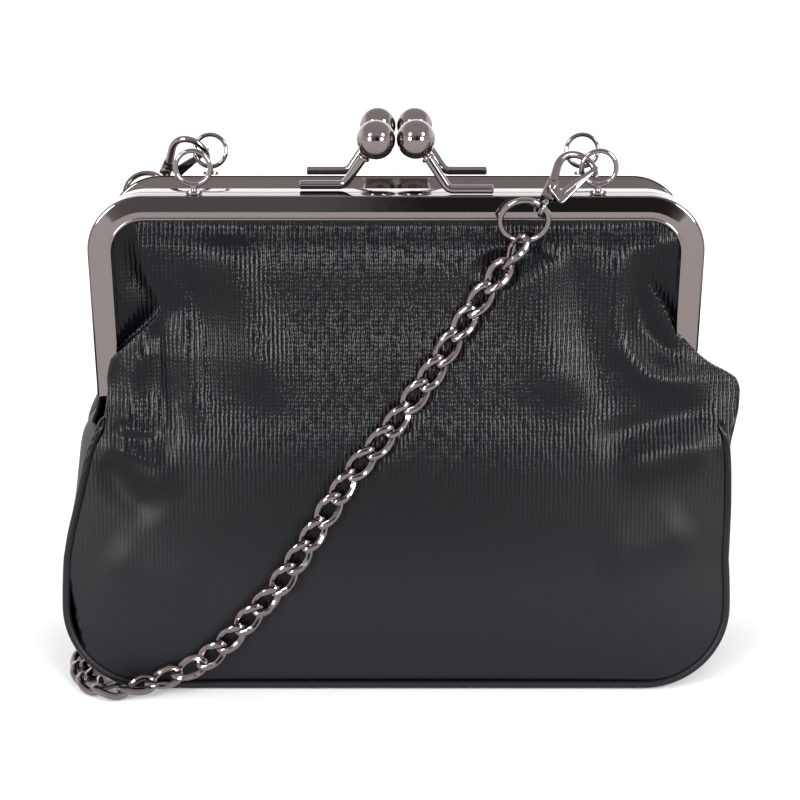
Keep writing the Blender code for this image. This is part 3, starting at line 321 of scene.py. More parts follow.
# Folds of the front: points (across, height), half width and height, in millimetres
FRONT_FOLDS = [
    (((-85, 143), (-85, 131), (-84.5, 116), (-83, 98), (-82, 86)), 3.2, -1.1),
    (((-76, 143), (-74, 131), (-73, 120), (-72, 108), (-70, 96)), 4.4, 0.8),
    (((-88, 134), (-92, 124), (-95, 112), (-98, 98), (-101, 82)), 4.5, 0.9),
    (((-75, 160), (-70, 146), (-67.5, 132), (-67, 118), (-66, 104)), 3, -0.5),
    (((-64, 178), (-59, 162), (-54, 149), (-50, 134), (-47, 118), (-46, 100)), 8, 1.1),
    (((-104, 101), (-96, 100), (-88, 98.6), (-80, 98)), 1.7, 0.4),
    (((-103, 96.5), (-95, 95.5), (-86, 93)), 1.5, -0.32),
    (((-102, 92), (-92, 90), (-84, 87)), 1.6, 0.35),
    (((-103, 106), (-98, 94), (-88, 84), (-74, 78)), 6, 0.6),
    (((-107, 90), (-98, 76), (-84, 66)), 6, -0.6),
    (((78, 172), (77, 161), (76.5, 149), (78, 134), (82, 126), (91, 118.5), (104, 116), (112, 114)),
     5.6, 1.15),
    (((89, 158), (87, 148), (87, 139), (90, 132), (97, 126), (104, 122)), 4.6, -1),
    (((60, 174), (63, 156), (65, 142), (68, 126), (74, 112), (86, 102)), 5, -0.5),
    (((46, 176), (48, 156), (51, 136), (56, 118), (66, 104)), 9, 0.9),
    (((116, 104), (100, 102), (84, 98), (68, 94)), 6, -0.8),
    (((114, 94), (96, 90), (76, 86)), 7, 0.6),
    (((108, 66), (90, 56), (70, 52)), 9, 0.5),
    (((-106, 56), (-88, 46), (-66, 40)), 9, 0.5),
]

# Leather grain, and the leather's colour: lighter low down as painted sheen, darker higher up as painted
# shade
WAVE_DETAIL = 1.5
RIB_PITCH = 0.00155
RIB_BEND = (2.4, 1.3)
RIB_POWER = 1.4
DASH_PITCH = 0.0015
DASH_BEND = (5, 2)
DASH_SHARE = 0.34
PATCH_SCALE = 420
PATCH_FLOOR = 0.45
GRAIN_DEPTH = 0.00015
# Heights over which the leather's colour goes from painted sheen low down to painted shade higher up
PAINTED_SHADE_SPAN = (0.032, 0.08)
PRESSED_SPAN = (0.07, 0.108)
PLAIN_GRAIN = 0.22
PLAIN_DULLNESS = 0.14
# The leather's colours: the lower one lightened as painted sheen, the upper one darkened as painted shade
PLAIN_PAINTED_SHEEN = (0.0062, 0.0062, 0.008, 1)
GRAINED_PAINTED_SHADE = (0.0014, 0.0014, 0.0026, 1)

FRONT, BACK = -1, 1
X, Y, Z = (Vector(axis) for axis in ((1, 0, 0), (0, 1, 0), (0, 0, 1)))


# Materials


def new_material(name):
    made = bpy.data.materials.new(name)
    made.use_nodes = True
    return made, made.node_tree.nodes["Principled BSDF"], made.node_tree


def feed(tree, node, values):
    """Gives each input of a node a socket to follow or a fixed value."""
    for name, value in values.items():
        if isinstance(value, bpy.types.NodeSocket):
            tree.links.new(value, node.inputs[name])
        else:
            node.inputs[name].default_value = value


def wave(tree, at, direction, pitch, distortion, detail_scale):
    """Smooth bands at a pitch in metres, bent by noise."""
    node = tree.nodes.new("ShaderNodeTexWave")
    node.wave_type = "BANDS"
    node.bands_direction = direction
    feed(tree, node, {"Vector": at, "Scale": math.pi / 10 / pitch, "Distortion": distortion})
    feed(tree, node, {"Detail": WAVE_DETAIL, "Detail Scale": detail_scale})
    return node.outputs["Fac"]


def maths(tree, kind, a, b):
    node = tree.nodes.new("ShaderNodeMath")
    node.operation = kind
    feed(tree, node, {0: a, 1: b})
    return node.outputs["Value"]


def ranged(tree, value, low, high):
    """0 below low, 1 above high, smooth between."""
    node = tree.nodes.new("ShaderNodeMapRange")
    node.interpolation_type = "SMOOTHSTEP"
    feed(tree, node, {"Value": value, "From Min": low, "From Max": high})
    return node.outputs["Result"]


def coordinates_of(tree, kind="Object"):
    return tree.nodes.new("ShaderNodeTexCoord").outputs[kind]


def split_axes(tree, at):
    """The X, Y and Z of places."""
    node = tree.nodes.new("ShaderNodeSeparateXYZ")
    tree.links.new(at, node.inputs["Vector"])
    return [node.outputs[axis] for axis in "XYZ"]


def noise(tree, at, scale, detail=2.0):
    node = tree.nodes.new("ShaderNodeTexNoise")
    feed(tree, node, {"Vector": at, "Scale": scale, "Detail": detail})
    return node.outputs["Fac"]


def add_bump(tree, shader, height, strength, distance):
    node = tree.nodes.new("ShaderNodeBump")
    feed(tree, node, {"Height": height, "Strength": strength, "Distance": distance})
    feed(tree, shader, {"Normal": node.outputs["Normal"]})


def mixed(tree, share, a, b):
    node = tree.nodes.new("ShaderNodeMix")
    node.data_type = "RGBA"
    feed(tree, node, {"Factor": share, "A": a, "B": b})
    return node.outputs["Result"]


def leather_material(name, specular, roughness, across):
    """Near-black leather pressed with upright ribs that short dashes cross, plainer towards the bottom, its
    colour lighter low down as painted sheen and darker higher up as painted shade.
    """
    made, shader, tree = new_material(name)
    at = coordinates_of(tree)
    ribs = wave(tree, at, across, RIB_PITCH, *RIB_BEND)
    dashes = wave(tree, at, "Z", DASH_PITCH, *DASH_BEND)
    gaps = maths(tree, "ADD", maths(tree, "MULTIPLY", dashes, DASH_SHARE), 1 - DASH_SHARE)
    woven = maths(tree, "MULTIPLY", maths(tree, "POWER", ribs, RIB_POWER), gaps)
    patches = noise(tree, at, PATCH_SCALE, 1.0)
    height = maths(tree, "MULTIPLY", woven, maths(tree, "ADD", patches, PATCH_FLOOR))
    up = split_axes(tree, at)[2]
    # The base colour goes from painted sheen low down to painted shade higher up
    painted_shade_share, pressed = ranged(tree, up, *PAINTED_SHADE_SPAN), ranged(tree, up, *PRESSED_SPAN)
    dull = maths(tree, "MULTIPLY", maths(tree, "SUBTRACT", 1.0, pressed), PLAIN_DULLNESS)
    feed(tree, shader, {
        "Base Color": mixed(tree, painted_shade_share, PLAIN_PAINTED_SHEEN, GRAINED_PAINTED_SHADE),
        "Roughness": maths(tree, "ADD", dull, roughness),
        "Specular IOR Level": specular,
    })
    depth = maths(tree, "ADD", maths(tree, "MULTIPLY", pressed, 1 - PLAIN_GRAIN), PLAIN_GRAIN)
    add_bump(tree, shader, maths(tree, "MULTIPLY", height, depth), 1.0, GRAIN_DEPTH)
    return made


def fine_material(name, colour, metallic, roughness, scale, strength, distance):
    """A finish of one colour over fine noise in its surface."""
    made, shader, tree = new_material(name)
    feed(tree, shader, {"Base Color": (*colour, 1), "Metallic": metallic, "Roughness": roughness})
    add_bump(tree, shader, noise(tree, coordinates_of(tree), scale), strength, distance)
    return made


LEATHER_LOOK = leather_material("leather_look", 0.155, 0.27, "X")
SIDE_LOOK = leather_material("side_leather_look", 0.08, 0.36, "Y")
# Metals and lining: colour, metallic, roughness, then the noise's scale, strength and depth
METAL_LOOK = fine_material("metal_look", (0.200, 0.174, 0.170), 1.0, 0.06, 220.0, 0.03, 0.0005)
CHAIN_LOOK = fine_material("chain_look", (0.180, 0.153, 0.156), 1.0, 0.12, 220.0, 0.03, 0.0005)
LINING_LOOK = fine_material("lining_look", (0.018, 0.018, 0.020), 0.0, 0.85, 1800.0, 0.3, 0.0003)


# Meshes


def object_from(name, vertices, faces, look):
    mesh = bpy.data.meshes.new(name)
    mesh.from_pydata([tuple(v) for v in vertices], [], faces)
    mesh.update()
    mesh.shade_smooth()
    made = bpy.data.objects.new(name, mesh)
    bpy.context.scene.collection.objects.link(made)
    made.data.materials.append(look)
    return made


def apply_modifiers(obj):
    graph = bpy.context.evaluated_depsgraph_get()
    mesh = bpy.data.meshes.new_from_object(obj.evaluated_get(graph))
    obj.modifiers.clear()
    obj.data = mesh


def thicken(obj, thickness, offset, rim_only=False):
    thick = obj.modifiers.new("thickness", "SOLIDIFY")
    thick.thickness = thickness
    thick.offset = offset
    thick.use_rim_only = rim_only
    apply_modifiers(obj)


def mesh_of(obj):
    """Takes the vertices and faces out of an object and deletes it."""
    found = [v.co.copy() for v in obj.data.vertices], [tuple(f.vertices) for f in obj.data.polygons]
    bpy.data.objects.remove(obj)
    return found


def grid_faces(rows, columns):
    starts = [i * columns + j for i in range(rows - 1) for j in range(columns - 1)]
    return [(a, a + 1, a + columns + 1, a + columns) for a in starts]


def stand_for(made, node):
    """A piece stands for a node, which it hides, and rides on the node's body."""
    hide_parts(node)
    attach(made, frame["nodes"][node]["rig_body"])


def smooth_line(points, steps):
    """A smooth line through points, with a number of steps between each two."""
    ends = [2 * points[0] - points[1]] + list(points) + [2 * points[-1] - points[-2]]
    found = []
    for a, b, c, d in zip(ends, ends[1:], ends[2:], ends[3:]):
        for k in range(steps):
            t = k / steps
            bend = (2 * a - 5 * b + 4 * c - d) * t * t
            found.append(0.5 * (2 * b + (c - a) * t + bend + (3 * b - a - 3 * c + d) * t**3))
    return found + [points[-1].copy()]


def spline(table, at):
    """A smooth value between the rows of a table of (place, value), which never overshoots them."""
    places = np.array([p for p, _ in table])
    values = np.array([v for _, v in table])
    rises = np.diff(values) / np.diff(places)
    slopes = np.zeros(len(places))
    same = rises[:-1] * rises[1:] > 0
    mean = 2 * rises[:-1] * rises[1:] / np.where(same, rises[:-1] + rises[1:], 1)
    slopes[1:-1] = np.where(same, mean, 0)
    slopes[0], slopes[-1] = rises[0], rises[-1]
    at = np.clip(at, places[0], places[-1])
    k = np.clip(np.searchsorted(places, at, side="right") - 1, 0, len(places) - 2)
    run = places[k + 1] - places[k]
    t = (at - places[k]) / run
    a, b = values[k], values[k + 1]
    m, n = slopes[k] * run, slopes[k + 1] * run
    rise = (3 * t**2 - 2 * t**3) * (b - a)
    return a + rise + (t**3 - 2 * t**2 + t) * m + (t**3 - t**2) * n


def smoothstep(low, high, at):
    t = np.clip((at - low) / (high - low), 0, 1)
    return t * t * (3 - 2 * t)


# Frames, locks and loops


def circle(centre, across, up, radius, sides):
    turn = 2 * math.pi / sides
    return [centre + radius * (math.cos(turn * i) * across + math.sin(turn * i) * up) for i in range(sides)]


def skin(rings, looped=False):
    """Vertices and faces over rings of equally many points, with flat ends or looped."""
    count = len(rings[0])
    vertices = [v for ring in rings for v in ring]
    faces = []
    for i in range(len(rings) if looped else len(rings) - 1):
        a, b = i * count, (i + 1) % len(rings) * count
        for j in range(count):
            k = (j + 1) % count
            faces.append((a + j, a + k, b + k, b + j))
    if not looped:
        faces.append(tuple(reversed(range(count))))
        faces.append(tuple(range(len(vertices) - count, len(vertices))))
    return vertices, faces


def tube(points, radii, sides, hint, looped=False):
    first, last = (points[-1], points[0]) if looped else (points[0], points[-1])
    rings = []
    for point, before, after, radius in zip(points, [first] + points[:-1], points[1:] + [last], radii):
        along = (after - before).normalized()
        across = along.cross(hint).normalized()
        rings.append(circle(point, across, along.cross(across), radius, sides))
    return skin(rings, looped)


def torus(centre, across, up, radius, wire, around=72, sides=20):
    points = circle(centre, across, up, radius, around)
    return tube(points, [wire] * around, sides, across.cross(up), looped=True)


def turned(outline, start, axis, sides=32, looped=False):
    """A turned piece: outline holds (distance along the axis, radius)."""
    hint = Z if abs(axis.z) < 0.9 else X
    across = axis.cross(hint).normalized()
    up = axis.cross(across)
    rings = [circle(start + along * axis, across, up, radius, sides) for along, radius in outline]
    return skin(rings, looped)


def together(parts):
    vertices, faces = [], []
    for some, quads in parts:
        faces += [tuple(v + len(vertices) for v in quad) for quad in quads]
        vertices += some
    return vertices, faces


def outward(obj):
    bm = bmesh.new()
    bm.from_mesh(obj.data)
    bmesh.ops.recalc_face_normals(bm, faces=bm.faces)
    bm.to_mesh(obj.data)
    bm.free()


def metal_piece(node, mesh, matrix, sharp=35):
    """A finer piece in place of a metal node."""
    vertices, faces = mesh
    made = object_from(node + "_look", [matrix @ v for v in vertices], faces, METAL_LOOK)
    outward(made)
    made.data.set_sharp_from_angle(angle=math.radians(sharp))
    stand_for(made, node)


def bevelled_prism(to_frame, outline, low, high, width, angle):
    """A flat part of the snap with rounded edges."""
    vertices, faces = skin([[to_frame(a, b, c) for a, b in outline] for c in (low, high)])
    made = object_from("snap_part", vertices, faces, METAL_LOOK)
    outward(made)
    bevel = made.modifiers.new("edges", "BEVEL")
    bevel.width = width
    bevel.segments = 3
    bevel.limit_method = "ANGLE"
    bevel.angle_limit = math.radians(angle)
    apply_modifiers(made)
    return mesh_of(made)


def frame_matrix(name):
    side, lean = (FRONT, FRONT_FRAME_LEAN) if name == "front" else (BACK, BACK_FRAME_LEAN)
    place = Matrix.Translation((0, side * HINGE_SPREAD / 2, HINGE_HEIGHT))
    return place @ Matrix.Rotation(-side * lean, 4, "X")


def frame_stations(steps=22):
    """Places and inward directions along a frame, from the right foot over the top to the left one."""
    half, corner = FRAME_WIDTH / 2, FRAME_CORNER_RADIUS
    leg = [0, EAR_RADIUS + LIP_START, EAR_RADIUS + LIP_START + LIP_STEP]
    leg += [leg[-1] + (FRAME_HEIGHT - corner - leg[-1]) * k / 5 for k in range(1, 5)]
    right = [(Vector((half, 0, z)), Vector((-1, 0, 0))) for z in leg]
    centre = Vector((half - corner, 0, FRAME_HEIGHT - corner))
    for k in range(steps + 1):
        angle = math.pi / 2 * k / steps
        out = Vector((math.cos(angle), 0, math.sin(angle)))
        right.append((centre + corner * out, -out))
    mirror = Matrix.Diagonal((-1, 1, 1))
    return right + [(mirror @ at, mirror @ inward) for at, inward in reversed(right)]


def frame_section(lip):
    """The half frame's section: split plane, rounded outer edge, crowned face with its bead, and lip."""
    split, face = SPLIT_GAP / 2, SPLIT_GAP / 2 + HALF_DEPTH
    section = [(0, split)]
    for k in range(7):
        t = math.pi / 2 * k / 6
        section.append((EDGE_ROUND * (1 - math.cos(t)), face - EDGE_ROUND * (1 - math.sin(t))))
    falls = [FACE_FALL * smoothstep(0, EDGE_ROUND / 2, inward) for inward, _ in section]
    section = [(inward, depth - fall) for (inward, depth), fall in zip(section, falls)]
    run = PLATE_WIDTH - BEAD_WIDTH - EDGE_ROUND
    shares = np.linspace(0, 1, 19)
    turn = smoothstep(*FACE_TURN_SHARES, shares)
    rise = np.concatenate([[0], np.cumsum((1 - turn[1:]) - FACE_ROLL * turn[1:])])
    rise = (rise - rise.max()) / (rise.max() - rise[0])
    section += [(EDGE_ROUND + run * a, face + FACE_FALL * b) for a, b in zip(shares[1:].tolist(), rise[1:])]
    for k in range(1, 6):
        t = math.pi * k / 6
        section.append((PLATE_WIDTH - BEAD_WIDTH / 2 * (1 + math.cos(t)), face + BEAD_HEIGHT * math.sin(t)))
    return section + [
        (PLATE_WIDTH, face), (PLATE_WIDTH, face - SHEET_THICKNESS),
        (SHEET_THICKNESS, face - FACE_FALL - FACE_BACKING), (SHEET_THICKNESS, split + SHEET_THICKNESS),
        (lip, split + SHEET_THICKNESS), (lip, split),
    ]


def frame_half(name, side, outer):
    """One bent half of a frame, with a flat ear at the foot of each leg."""
    rings = []
    for at, normal in frame_stations():
        lip = BACK_LIP_WIDTH if at.z > EAR_RADIUS + LIP_START + LIP_STEP / 2 else LEG_LIP_WIDTH
        section = frame_section(lip)
        rings.append([at + inward * normal + Vector((0, side * depth, 0)) for inward, depth in section])
    parts = [skin(rings)]
    start = 0.0 if outer else SHEET_THICKNESS + SEAT_GAP
    arc = [EAR_ARC_START + EAR_ARC * k / 40 for k in range(41)]
    outline = [(EAR_RADIUS * math.cos(t), EAR_RADIUS * math.sin(t)) for t in arc]
    outline += [(y, EAR_NECK_HEIGHT) for y in EAR_NECK_PLACES]
    for end in (-1, 1):
        places = [end * (FRAME_WIDTH / 2 - inset) for inset in (start, start + SHEET_THICKNESS)]
        parts.append(skin([[Vector((x, side * y, z)) for y, z in outline] for x in places]))
    word = "front" if side == FRONT else "back"
    metal_piece(f"{name}_frame_{word}_half", together(parts), frame_matrix(name), sharp=28)


def rounded_bend(before, corner, after, radius, steps):
    a, b = (before - corner).normalized(), (after - corner).normalized()
    reach = radius / math.tan(a.angle(b) / 2)
    start, end = corner + reach * a, corner + reach * b
    shares = [k / steps for k in range(steps + 1)]
    return [(1 - t) ** 2 * start + 2 * t * (1 - t) * corner + t * t * end for t in shares]


def lock(name, word, side):
    """Rod, collar and ball of one lock arm."""
    matrix = frame_matrix(name)
    seat = FRAME_HEIGHT + SEAT_GAP + ROD_DIAMETER / 2
    depth = -side * (SPLIT_GAP / 2 + HALF_DEPTH / 2)
    ball = Vector((side * (BALL_DIAMETER + SEAT_GAP) / 2, side * BALL_CROSSING / 2, seat + BALL_HEIGHT))
    outer = Vector((side * ROD_OUTER_REACH, depth, seat))
    bend = Vector((side * ROD_BEND_REACH, depth, seat))
    aim = (bend - ball).normalized()
    tip = ball + aim * BALL_DIAMETER / 4
    inward = (bend - outer).normalized()
    points = [outer + along * inward for along, _ in ROD_END_SHARES]
    points += rounded_bend(outer, bend, tip, ROD_BEND_RADIUS, 14) + [tip]
    radii = [share * ROD_DIAMETER / 2 for _, share in ROD_END_SHARES]
    radii += [ROD_DIAMETER / 2] * (len(points) - len(radii))
    metal_piece(f"lock_rod_{name}_{word}", tube(points, radii, 28, Y), matrix)
    far = ball + aim * (BALL_DIAMETER / 2 + COLLAR_LENGTH + SEAT_GAP)
    outline = [(0, ROD_DIAMETER / 2 + COLLAR_CLEARANCE)]
    outline += [(along, COLLAR_DIAMETER / 2 - inset) for along, inset in COLLAR_ROUND]
    outline += [(COLLAR_LENGTH - along, r) for along, r in reversed(outline)]
    metal_piece(f"lock_collar_{name}_{word}", turned(outline, far, -aim, looped=True), matrix)
    half, angles = BALL_DIAMETER / 2, [math.pi * k / 40 for k in range(1, 40)]
    outline = [(-half * math.cos(t), half * math.sin(t)) for t in angles]
    metal_piece(f"lock_ball_{name}_{word}", turned(outline, ball, aim, sides=64), matrix)


def loop_centre(side, end):
    rise = SEAT_GAP + LOOP_NECK_HEIGHT + LOOP_DIAMETER / 2
    return Vector((end * LOOP_REACH, side * (SPLIT_GAP + HALF_DEPTH) / 2, FRAME_HEIGHT + rise))


def chain_loop(name, word, side, end):
    centre = loop_centre(side, end)
    across, up = X, Z
    radius = (LOOP_DIAMETER - LOOP_WIRE) / 2
    ring = torus(centre, across, up, radius, LOOP_WIRE / 2)
    base = Vector((centre.x, centre.y, FRAME_HEIGHT + SEAT_GAP))
    neck = [(along, share * LOOP_NECK_DIAMETER / 2) for along, share in LOOP_NECK_SHARES]
    neck.append((centre.z - radius - base.z, LOOP_NECK_DIAMETER / 2 * LOOP_NECK_TOP_SHARE))
    post = turned(neck, base, up)
    vertices, faces = turned(LOOP_FOOT_SHARES, Vector(), up, 40)
    stretch = Matrix.Diagonal((LOOP_FOOT_LENGTH / 2, LOOP_FOOT_DEPTH / 2, 1, 1))
    foot = ([base + (stretch @ v) for v in vertices], faces)
    metal_piece(f"chain_loop_{name}_{word}", together([ring, post, foot]), frame_matrix(name), sharp=40)


# Snaps


def clasp_axes(side, end):
    turn = Matrix.Rotation(CLASP_TURN, 3, "Z") @ Matrix.Rotation(math.pi / 2 - CLASP_TILT, 3, "X")
    wire = loop_centre(FRONT, end) - Vector(((LOOP_DIAMETER - LOOP_WIRE) / 2, 0, 0))
    rivet = wire - turn @ Vector((*LOOP_CROSSING, 0))

    def to_frame(a, b, c):
        point = rivet + turn @ Vector((a, b, c))
        return Vector((point.x, -side * point.y, point.z))

    return to_frame


def along_base(distance, across=0.0):
    ahead = (math.cos(BASE_AXIS), math.sin(BASE_AXIS))
    return distance * ahead[0] + across * ahead[1], distance * ahead[1] - across * ahead[0]


def hook_mesh(to_frame, normal):
    """The snap's tapering spine and hook, with a rounded tip."""
    line = smooth_line([to_frame(*(HOOK_LENGTH * s for s in p), 0) for p in HOOK_LINE_SHARES], 6)
    last = len(line) - 1
    radii = [(HOOK_WIRE + (HOOK_TIP_WIRE - HOOK_WIRE) * k / last) / 2 for k in range(len(line))]
    end, tip, aim = line[-1], radii[-1], (line[-1] - line[-2]).normalized()
    line += [end + aim * tip * share for share in HOOK_TIP_SHARES]
    radii += [tip * math.sqrt(1 - share * share) for share in HOOK_TIP_SHARES]
    return tube(line, radii, 22, normal)


def clasp(name, word, side, end):
    """The snap: base, round spine and hook, swivel eye, gate and rivet."""
    matrix = frame_matrix(name)
    to_frame = clasp_axes(side, end)
    normal = to_frame(0, 0, 1) - to_frame(0, 0, 0)
    half, low_half = BASE_WIDTH / 2, BASE_WIDTH / 2 * BASE_TAPER
    corners = [(-BASE_BACK_REACH, -half), (-BASE_BACK_REACH, half)]
    corners += [(BASE_FRONT_REACH, low_half), (BASE_FRONT_REACH, -low_half)]
    corners = [Vector(corner) for corner in corners]
    outline = []
    for k, corner in enumerate(corners):
        for t in rounded_bend(corners[k - 1], corner, corners[(k + 1) % 4], BASE_WIDTH / 6, 5):
            outline.append(along_base(t.x, t.y))
    plate = bevelled_prism(to_frame, outline, -BASE_THICKNESS / 2, BASE_THICKNESS / 2, BASE_BEVEL, 45)
    ahead = to_frame(*along_base(1), 0) - to_frame(0, 0, 0)
    start = to_frame(*along_base(-BASE_BACK_REACH - SWIVEL_EYE_WIRE / 2), 0)
    outline = [(along, share * SWIVEL_POST_DIAMETER / 2) for along, share in SWIVEL_POST_SHARES]
    post = turned(outline, start, ahead, 24)
    eye_at = to_frame(*along_base(-BASE_BACK_REACH - SWIVEL_EYE_DIAMETER / 2), 0)
    eye_reach = (SWIVEL_EYE_DIAMETER - SWIVEL_EYE_WIRE) / 2
    eye = torus(eye_at, ahead, normal, eye_reach, SWIVEL_EYE_WIRE / 2, 48, 16)
    parts = [plate, hook_mesh(to_frame, normal), post, eye]
    metal_piece(f"clasp_{word}", together(parts), matrix, sharp=50)
    low = BASE_THICKNESS / 2 + SEAT_GAP
    high = low + GATE_THICKNESS
    face = high - GATE_RIDGE_RISE
    ridge = [high + rise for rise in GATE_RIDGE_SPAN]
    parts = []
    for shares, (bottom, top) in ((GATE_OUTLINE_SHARES, (low, face)), (GATE_RIDGE_SHARES, ridge)):
        outline = [(HOOK_LENGTH * a, HOOK_LENGTH * b) for a, b in shares]
        parts.append(bevelled_prism(to_frame, outline, bottom, top, GATE_BEVEL, 25))
    metal_piece(f"clasp_gate_{word}", together(parts), matrix, sharp=50)
    shaft = [(low - high - BASE_THICKNESS, RIVET_RADIUS), (0, RIVET_RADIUS)]
    metal_piece(f"clasp_rivet_{word}", turned(shaft + RIVET_HEAD, to_frame(0, 0, face), normal, 28), matrix)


def ring_axes(end):
    """Centre, across, up and reach of a ring, in the front frame's own place."""
    across, up = X, Vector((0, -math.sin(RING_HANG), math.cos(RING_HANG)))
    reach = (RING_DIAMETER - RING_WIRE) / 2
    eye = clasp_axes(FRONT, end)(*along_base(-BASE_BACK_REACH - SWIVEL_EYE_DIAMETER / 2), 0)
    centre = eye - reach * (math.cos(RING_EYE_ANGLE) * across + math.sin(RING_EYE_ANGLE) * up)
    return centre, across, up, reach


def ring_point(name, side, end, degrees):
    """A point on a ring's wire, an angle round from its right."""
    centre, across, up, reach = ring_axes(end)
    angle = math.radians(degrees)
    point = centre + reach * (math.cos(angle) * across + math.sin(angle) * up)
    point.y *= -side
    return frame_matrix(name) @ point


def chain_ring(name, word, side, end):
    centre, across, up, reach = ring_axes(end)
    vertices, faces = torus(centre, across, up, reach, RING_WIRE / 2, 96, 22)
    for v in vertices:
        v.y *= -side
    metal_piece(f"chain_ring_{word}", (vertices, faces), frame_matrix(name))


def metalwork():
    for name, side in (("front", FRONT), ("back", BACK)):
        for half in (FRONT, BACK):
            frame_half(name, half, outer=half == side)
        for end, word in ((-1, "left"), (1, "right")):
            lock(name, word, end)
            chain_loop(name, word, side, end)
        end, word = (1, "right") if side == FRONT else (-1, "left")
        clasp(name, word, side, end)
        chain_ring(name, word, side, end)


# Camera


def aimed(name, data, back):
    """A camera or light whose back is towards a direction."""
    made = bpy.data.objects.new(name, data)
    made.rotation_euler = back.to_track_quat("Z", "Y").to_euler()
    bpy.context.scene.collection.objects.link(made)
    return made


def camera():
    back = Vector((0, -math.cos(CAMERA_ELEVATION), math.sin(CAMERA_ELEVATION)))
    made = aimed("camera", bpy.data.cameras.new("camera"), back)
    made.data.lens = CAMERA_LENS
    made.data.sensor_width = CAMERA_SENSOR
    made.data.clip_start = 0.01
    made.location = CAMERA_TARGET + CAMERA_DISTANCE * back
    bpy.context.scene.camera = made
    bpy.context.scene.view_settings.view_transform = "Standard"


# Chain


def chain_line():
    route = CHAIN_FRONT_ROUTE + CHAIN_FLOOR_ROUTE[1:] + CHAIN_BACK_ROUTE[1:]
    route = [Vector([c / 1000 for c in p]) for p in route]
    first = len(CHAIN_FRONT_ROUTE)
    second = first + len(CHAIN_FLOOR_ROUTE) - 1
    route.insert(0, ring_point("front", FRONT, 1, FRONT_RING_DEGREES))
    route.append(ring_point("back", BACK, -1, BACK_RING_DEGREES))
    line = smooth_line(route, CHAIN_CURVE_STEPS)
    return line, first * CHAIN_CURVE_STEPS, second * CHAIN_CURVE_STEPS


def chain_facing(centre, outward):
    height = min(1.0, centre.z / CHAIN_TURN_HEIGHT)
    return (height * Vector((0, outward, 0)) + (1 - height) * Z).normalized()


def link_mesh(centre, along, facing, around=28, sides=10):
    """Vertices and faces of one twisted link, ground flat on its outer faces."""
    across = facing.cross(along).normalized()
    up = along.cross(across)
    reach = (LINK_PITCH + LINK_WIRE) / 2
    half = (LINK_WIDTH - LINK_WIRE) / 2
    line = []
    for k in range(around):
        t = 2 * math.pi * k / around
        twist = LINK_TWIST * math.cos(t)
        radius = half * math.sin(t)
        line.append(Vector((reach * math.cos(t), radius * math.cos(twist), radius * math.sin(twist))))
    rings = []
    for k in range(around):
        run = (line[(k + 1) % around] - line[k - 1]).normalized()
        side = run.cross(Z).normalized()
        ring = circle(line[k], side, side.cross(run), LINK_WIRE / 2, sides)
        for p in ring:
            p.z = max(-LINK_FLAT, min(LINK_FLAT, p.z))
        rings.append([centre + p.x * along + p.y * across + p.z * up for p in ring])
    vertices, faces = skin(rings, looped=True)
    return vertices, [(a, d, c, b) for a, b, c, d in faces]


def place_on(lengths, at):
    """The step of a line that holds a length along it, and the share of that step."""
    k = min(max(int(np.searchsorted(lengths, at, side="right")) - 1, 0), len(lengths) - 2)
    return k, min(max((at - lengths[k]) / (lengths[k + 1] - lengths[k]), 0), 1)


def chain_runs():
    """The chain's three runs: from the right snap to the floor, on the floor, and up to the left snap."""
    line, floor_start, back_start = chain_line()
    slopes = [(b - a).normalized() for a, b in zip([line[0]] + line[:-1], line[1:] + [line[-1]])]
    lengths = [0.0]
    for a, b in zip(line, line[1:]):
        lengths.append(lengths[-1] + (b - a).length)
    count = round(lengths[-1] / LINK_PITCH)
    pitch = lengths[-1] / count
    runs = {"chain_front": [], "chain_floor": [], "chain_back": []}
    spans = {}
    for i in range(count):
        at = (i + 0.5) * pitch
        k, share = place_on(lengths, at)
        centre = line[k].lerp(line[k + 1], share)
        along = slopes[k].lerp(slopes[k + 1], share).normalized()
        name = "chain_front" if k < floor_start else "chain_floor" if k < back_start else "chain_back"
        lift = END_LINK_LIFT if i in (0, count - 1) else 0
        if name == "chain_front" and i:
            lift = UPPER_LINK_LIFT * smoothstep(*UPPER_LINK_SPAN, centre.z)
        sway = math.radians(LINK_SWAY_DEGREES + LINK_SWAY_MORE * min(1, centre.z / LINK_SWAY_HEIGHT))
        wobble = Matrix.Rotation(lift + sway * math.sin(LINK_SWAY_RATE * i), 3, along)
        facing = wobble @ chain_facing(centre, FRONT if name == "chain_front" else BACK)
        runs[name].append(link_mesh(centre, along, facing))
        spans[name] = (spans.get(name, (i * pitch, 0))[0], (i + 1) * pitch)
    for name, links in runs.items():
        run = object_from(name + "_links", *together(links), CHAIN_LOOK)
        run.data.set_sharp_from_angle(angle=math.radians(32))
        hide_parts(name)
        start, stop = spans[name]
        steps = [start + (stop - start) * j / CHAIN_PATH_STEPS for j in range(CHAIN_PATH_STEPS + 1)]
        places = [place_on(lengths, at) for at in steps]
        path = [line[k].lerp(line[k + 1], share) for k, share in places]
        if name == "chain_front":
            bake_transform(run)
        elif name == "chain_back":
            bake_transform(run)
            path.reverse()
        else:
            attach(run, "bag")
        tuple(path[0])


# Leather


def millimetres(table, at):
    """The table's value at world heights in metres, in metres."""
    return spline(table, at * 1000) / 1000


def pouch_half_width(z, inset):
    full, top = POUCH_WIDTH / 2 - inset, POUCH_SHOULDER_WIDTH / 2 - inset
    corner = POUCH_CORNER_RADIUS
    if z >= corner:
        share = (z - corner) / (HINGE_HEIGHT - corner)
        return full - (full - top) * share**1.5
    drop = min((corner - z) / (corner - inset), 1)
    return full - (corner - inset) + (corner - inset) * math.sqrt(1 - drop * drop)


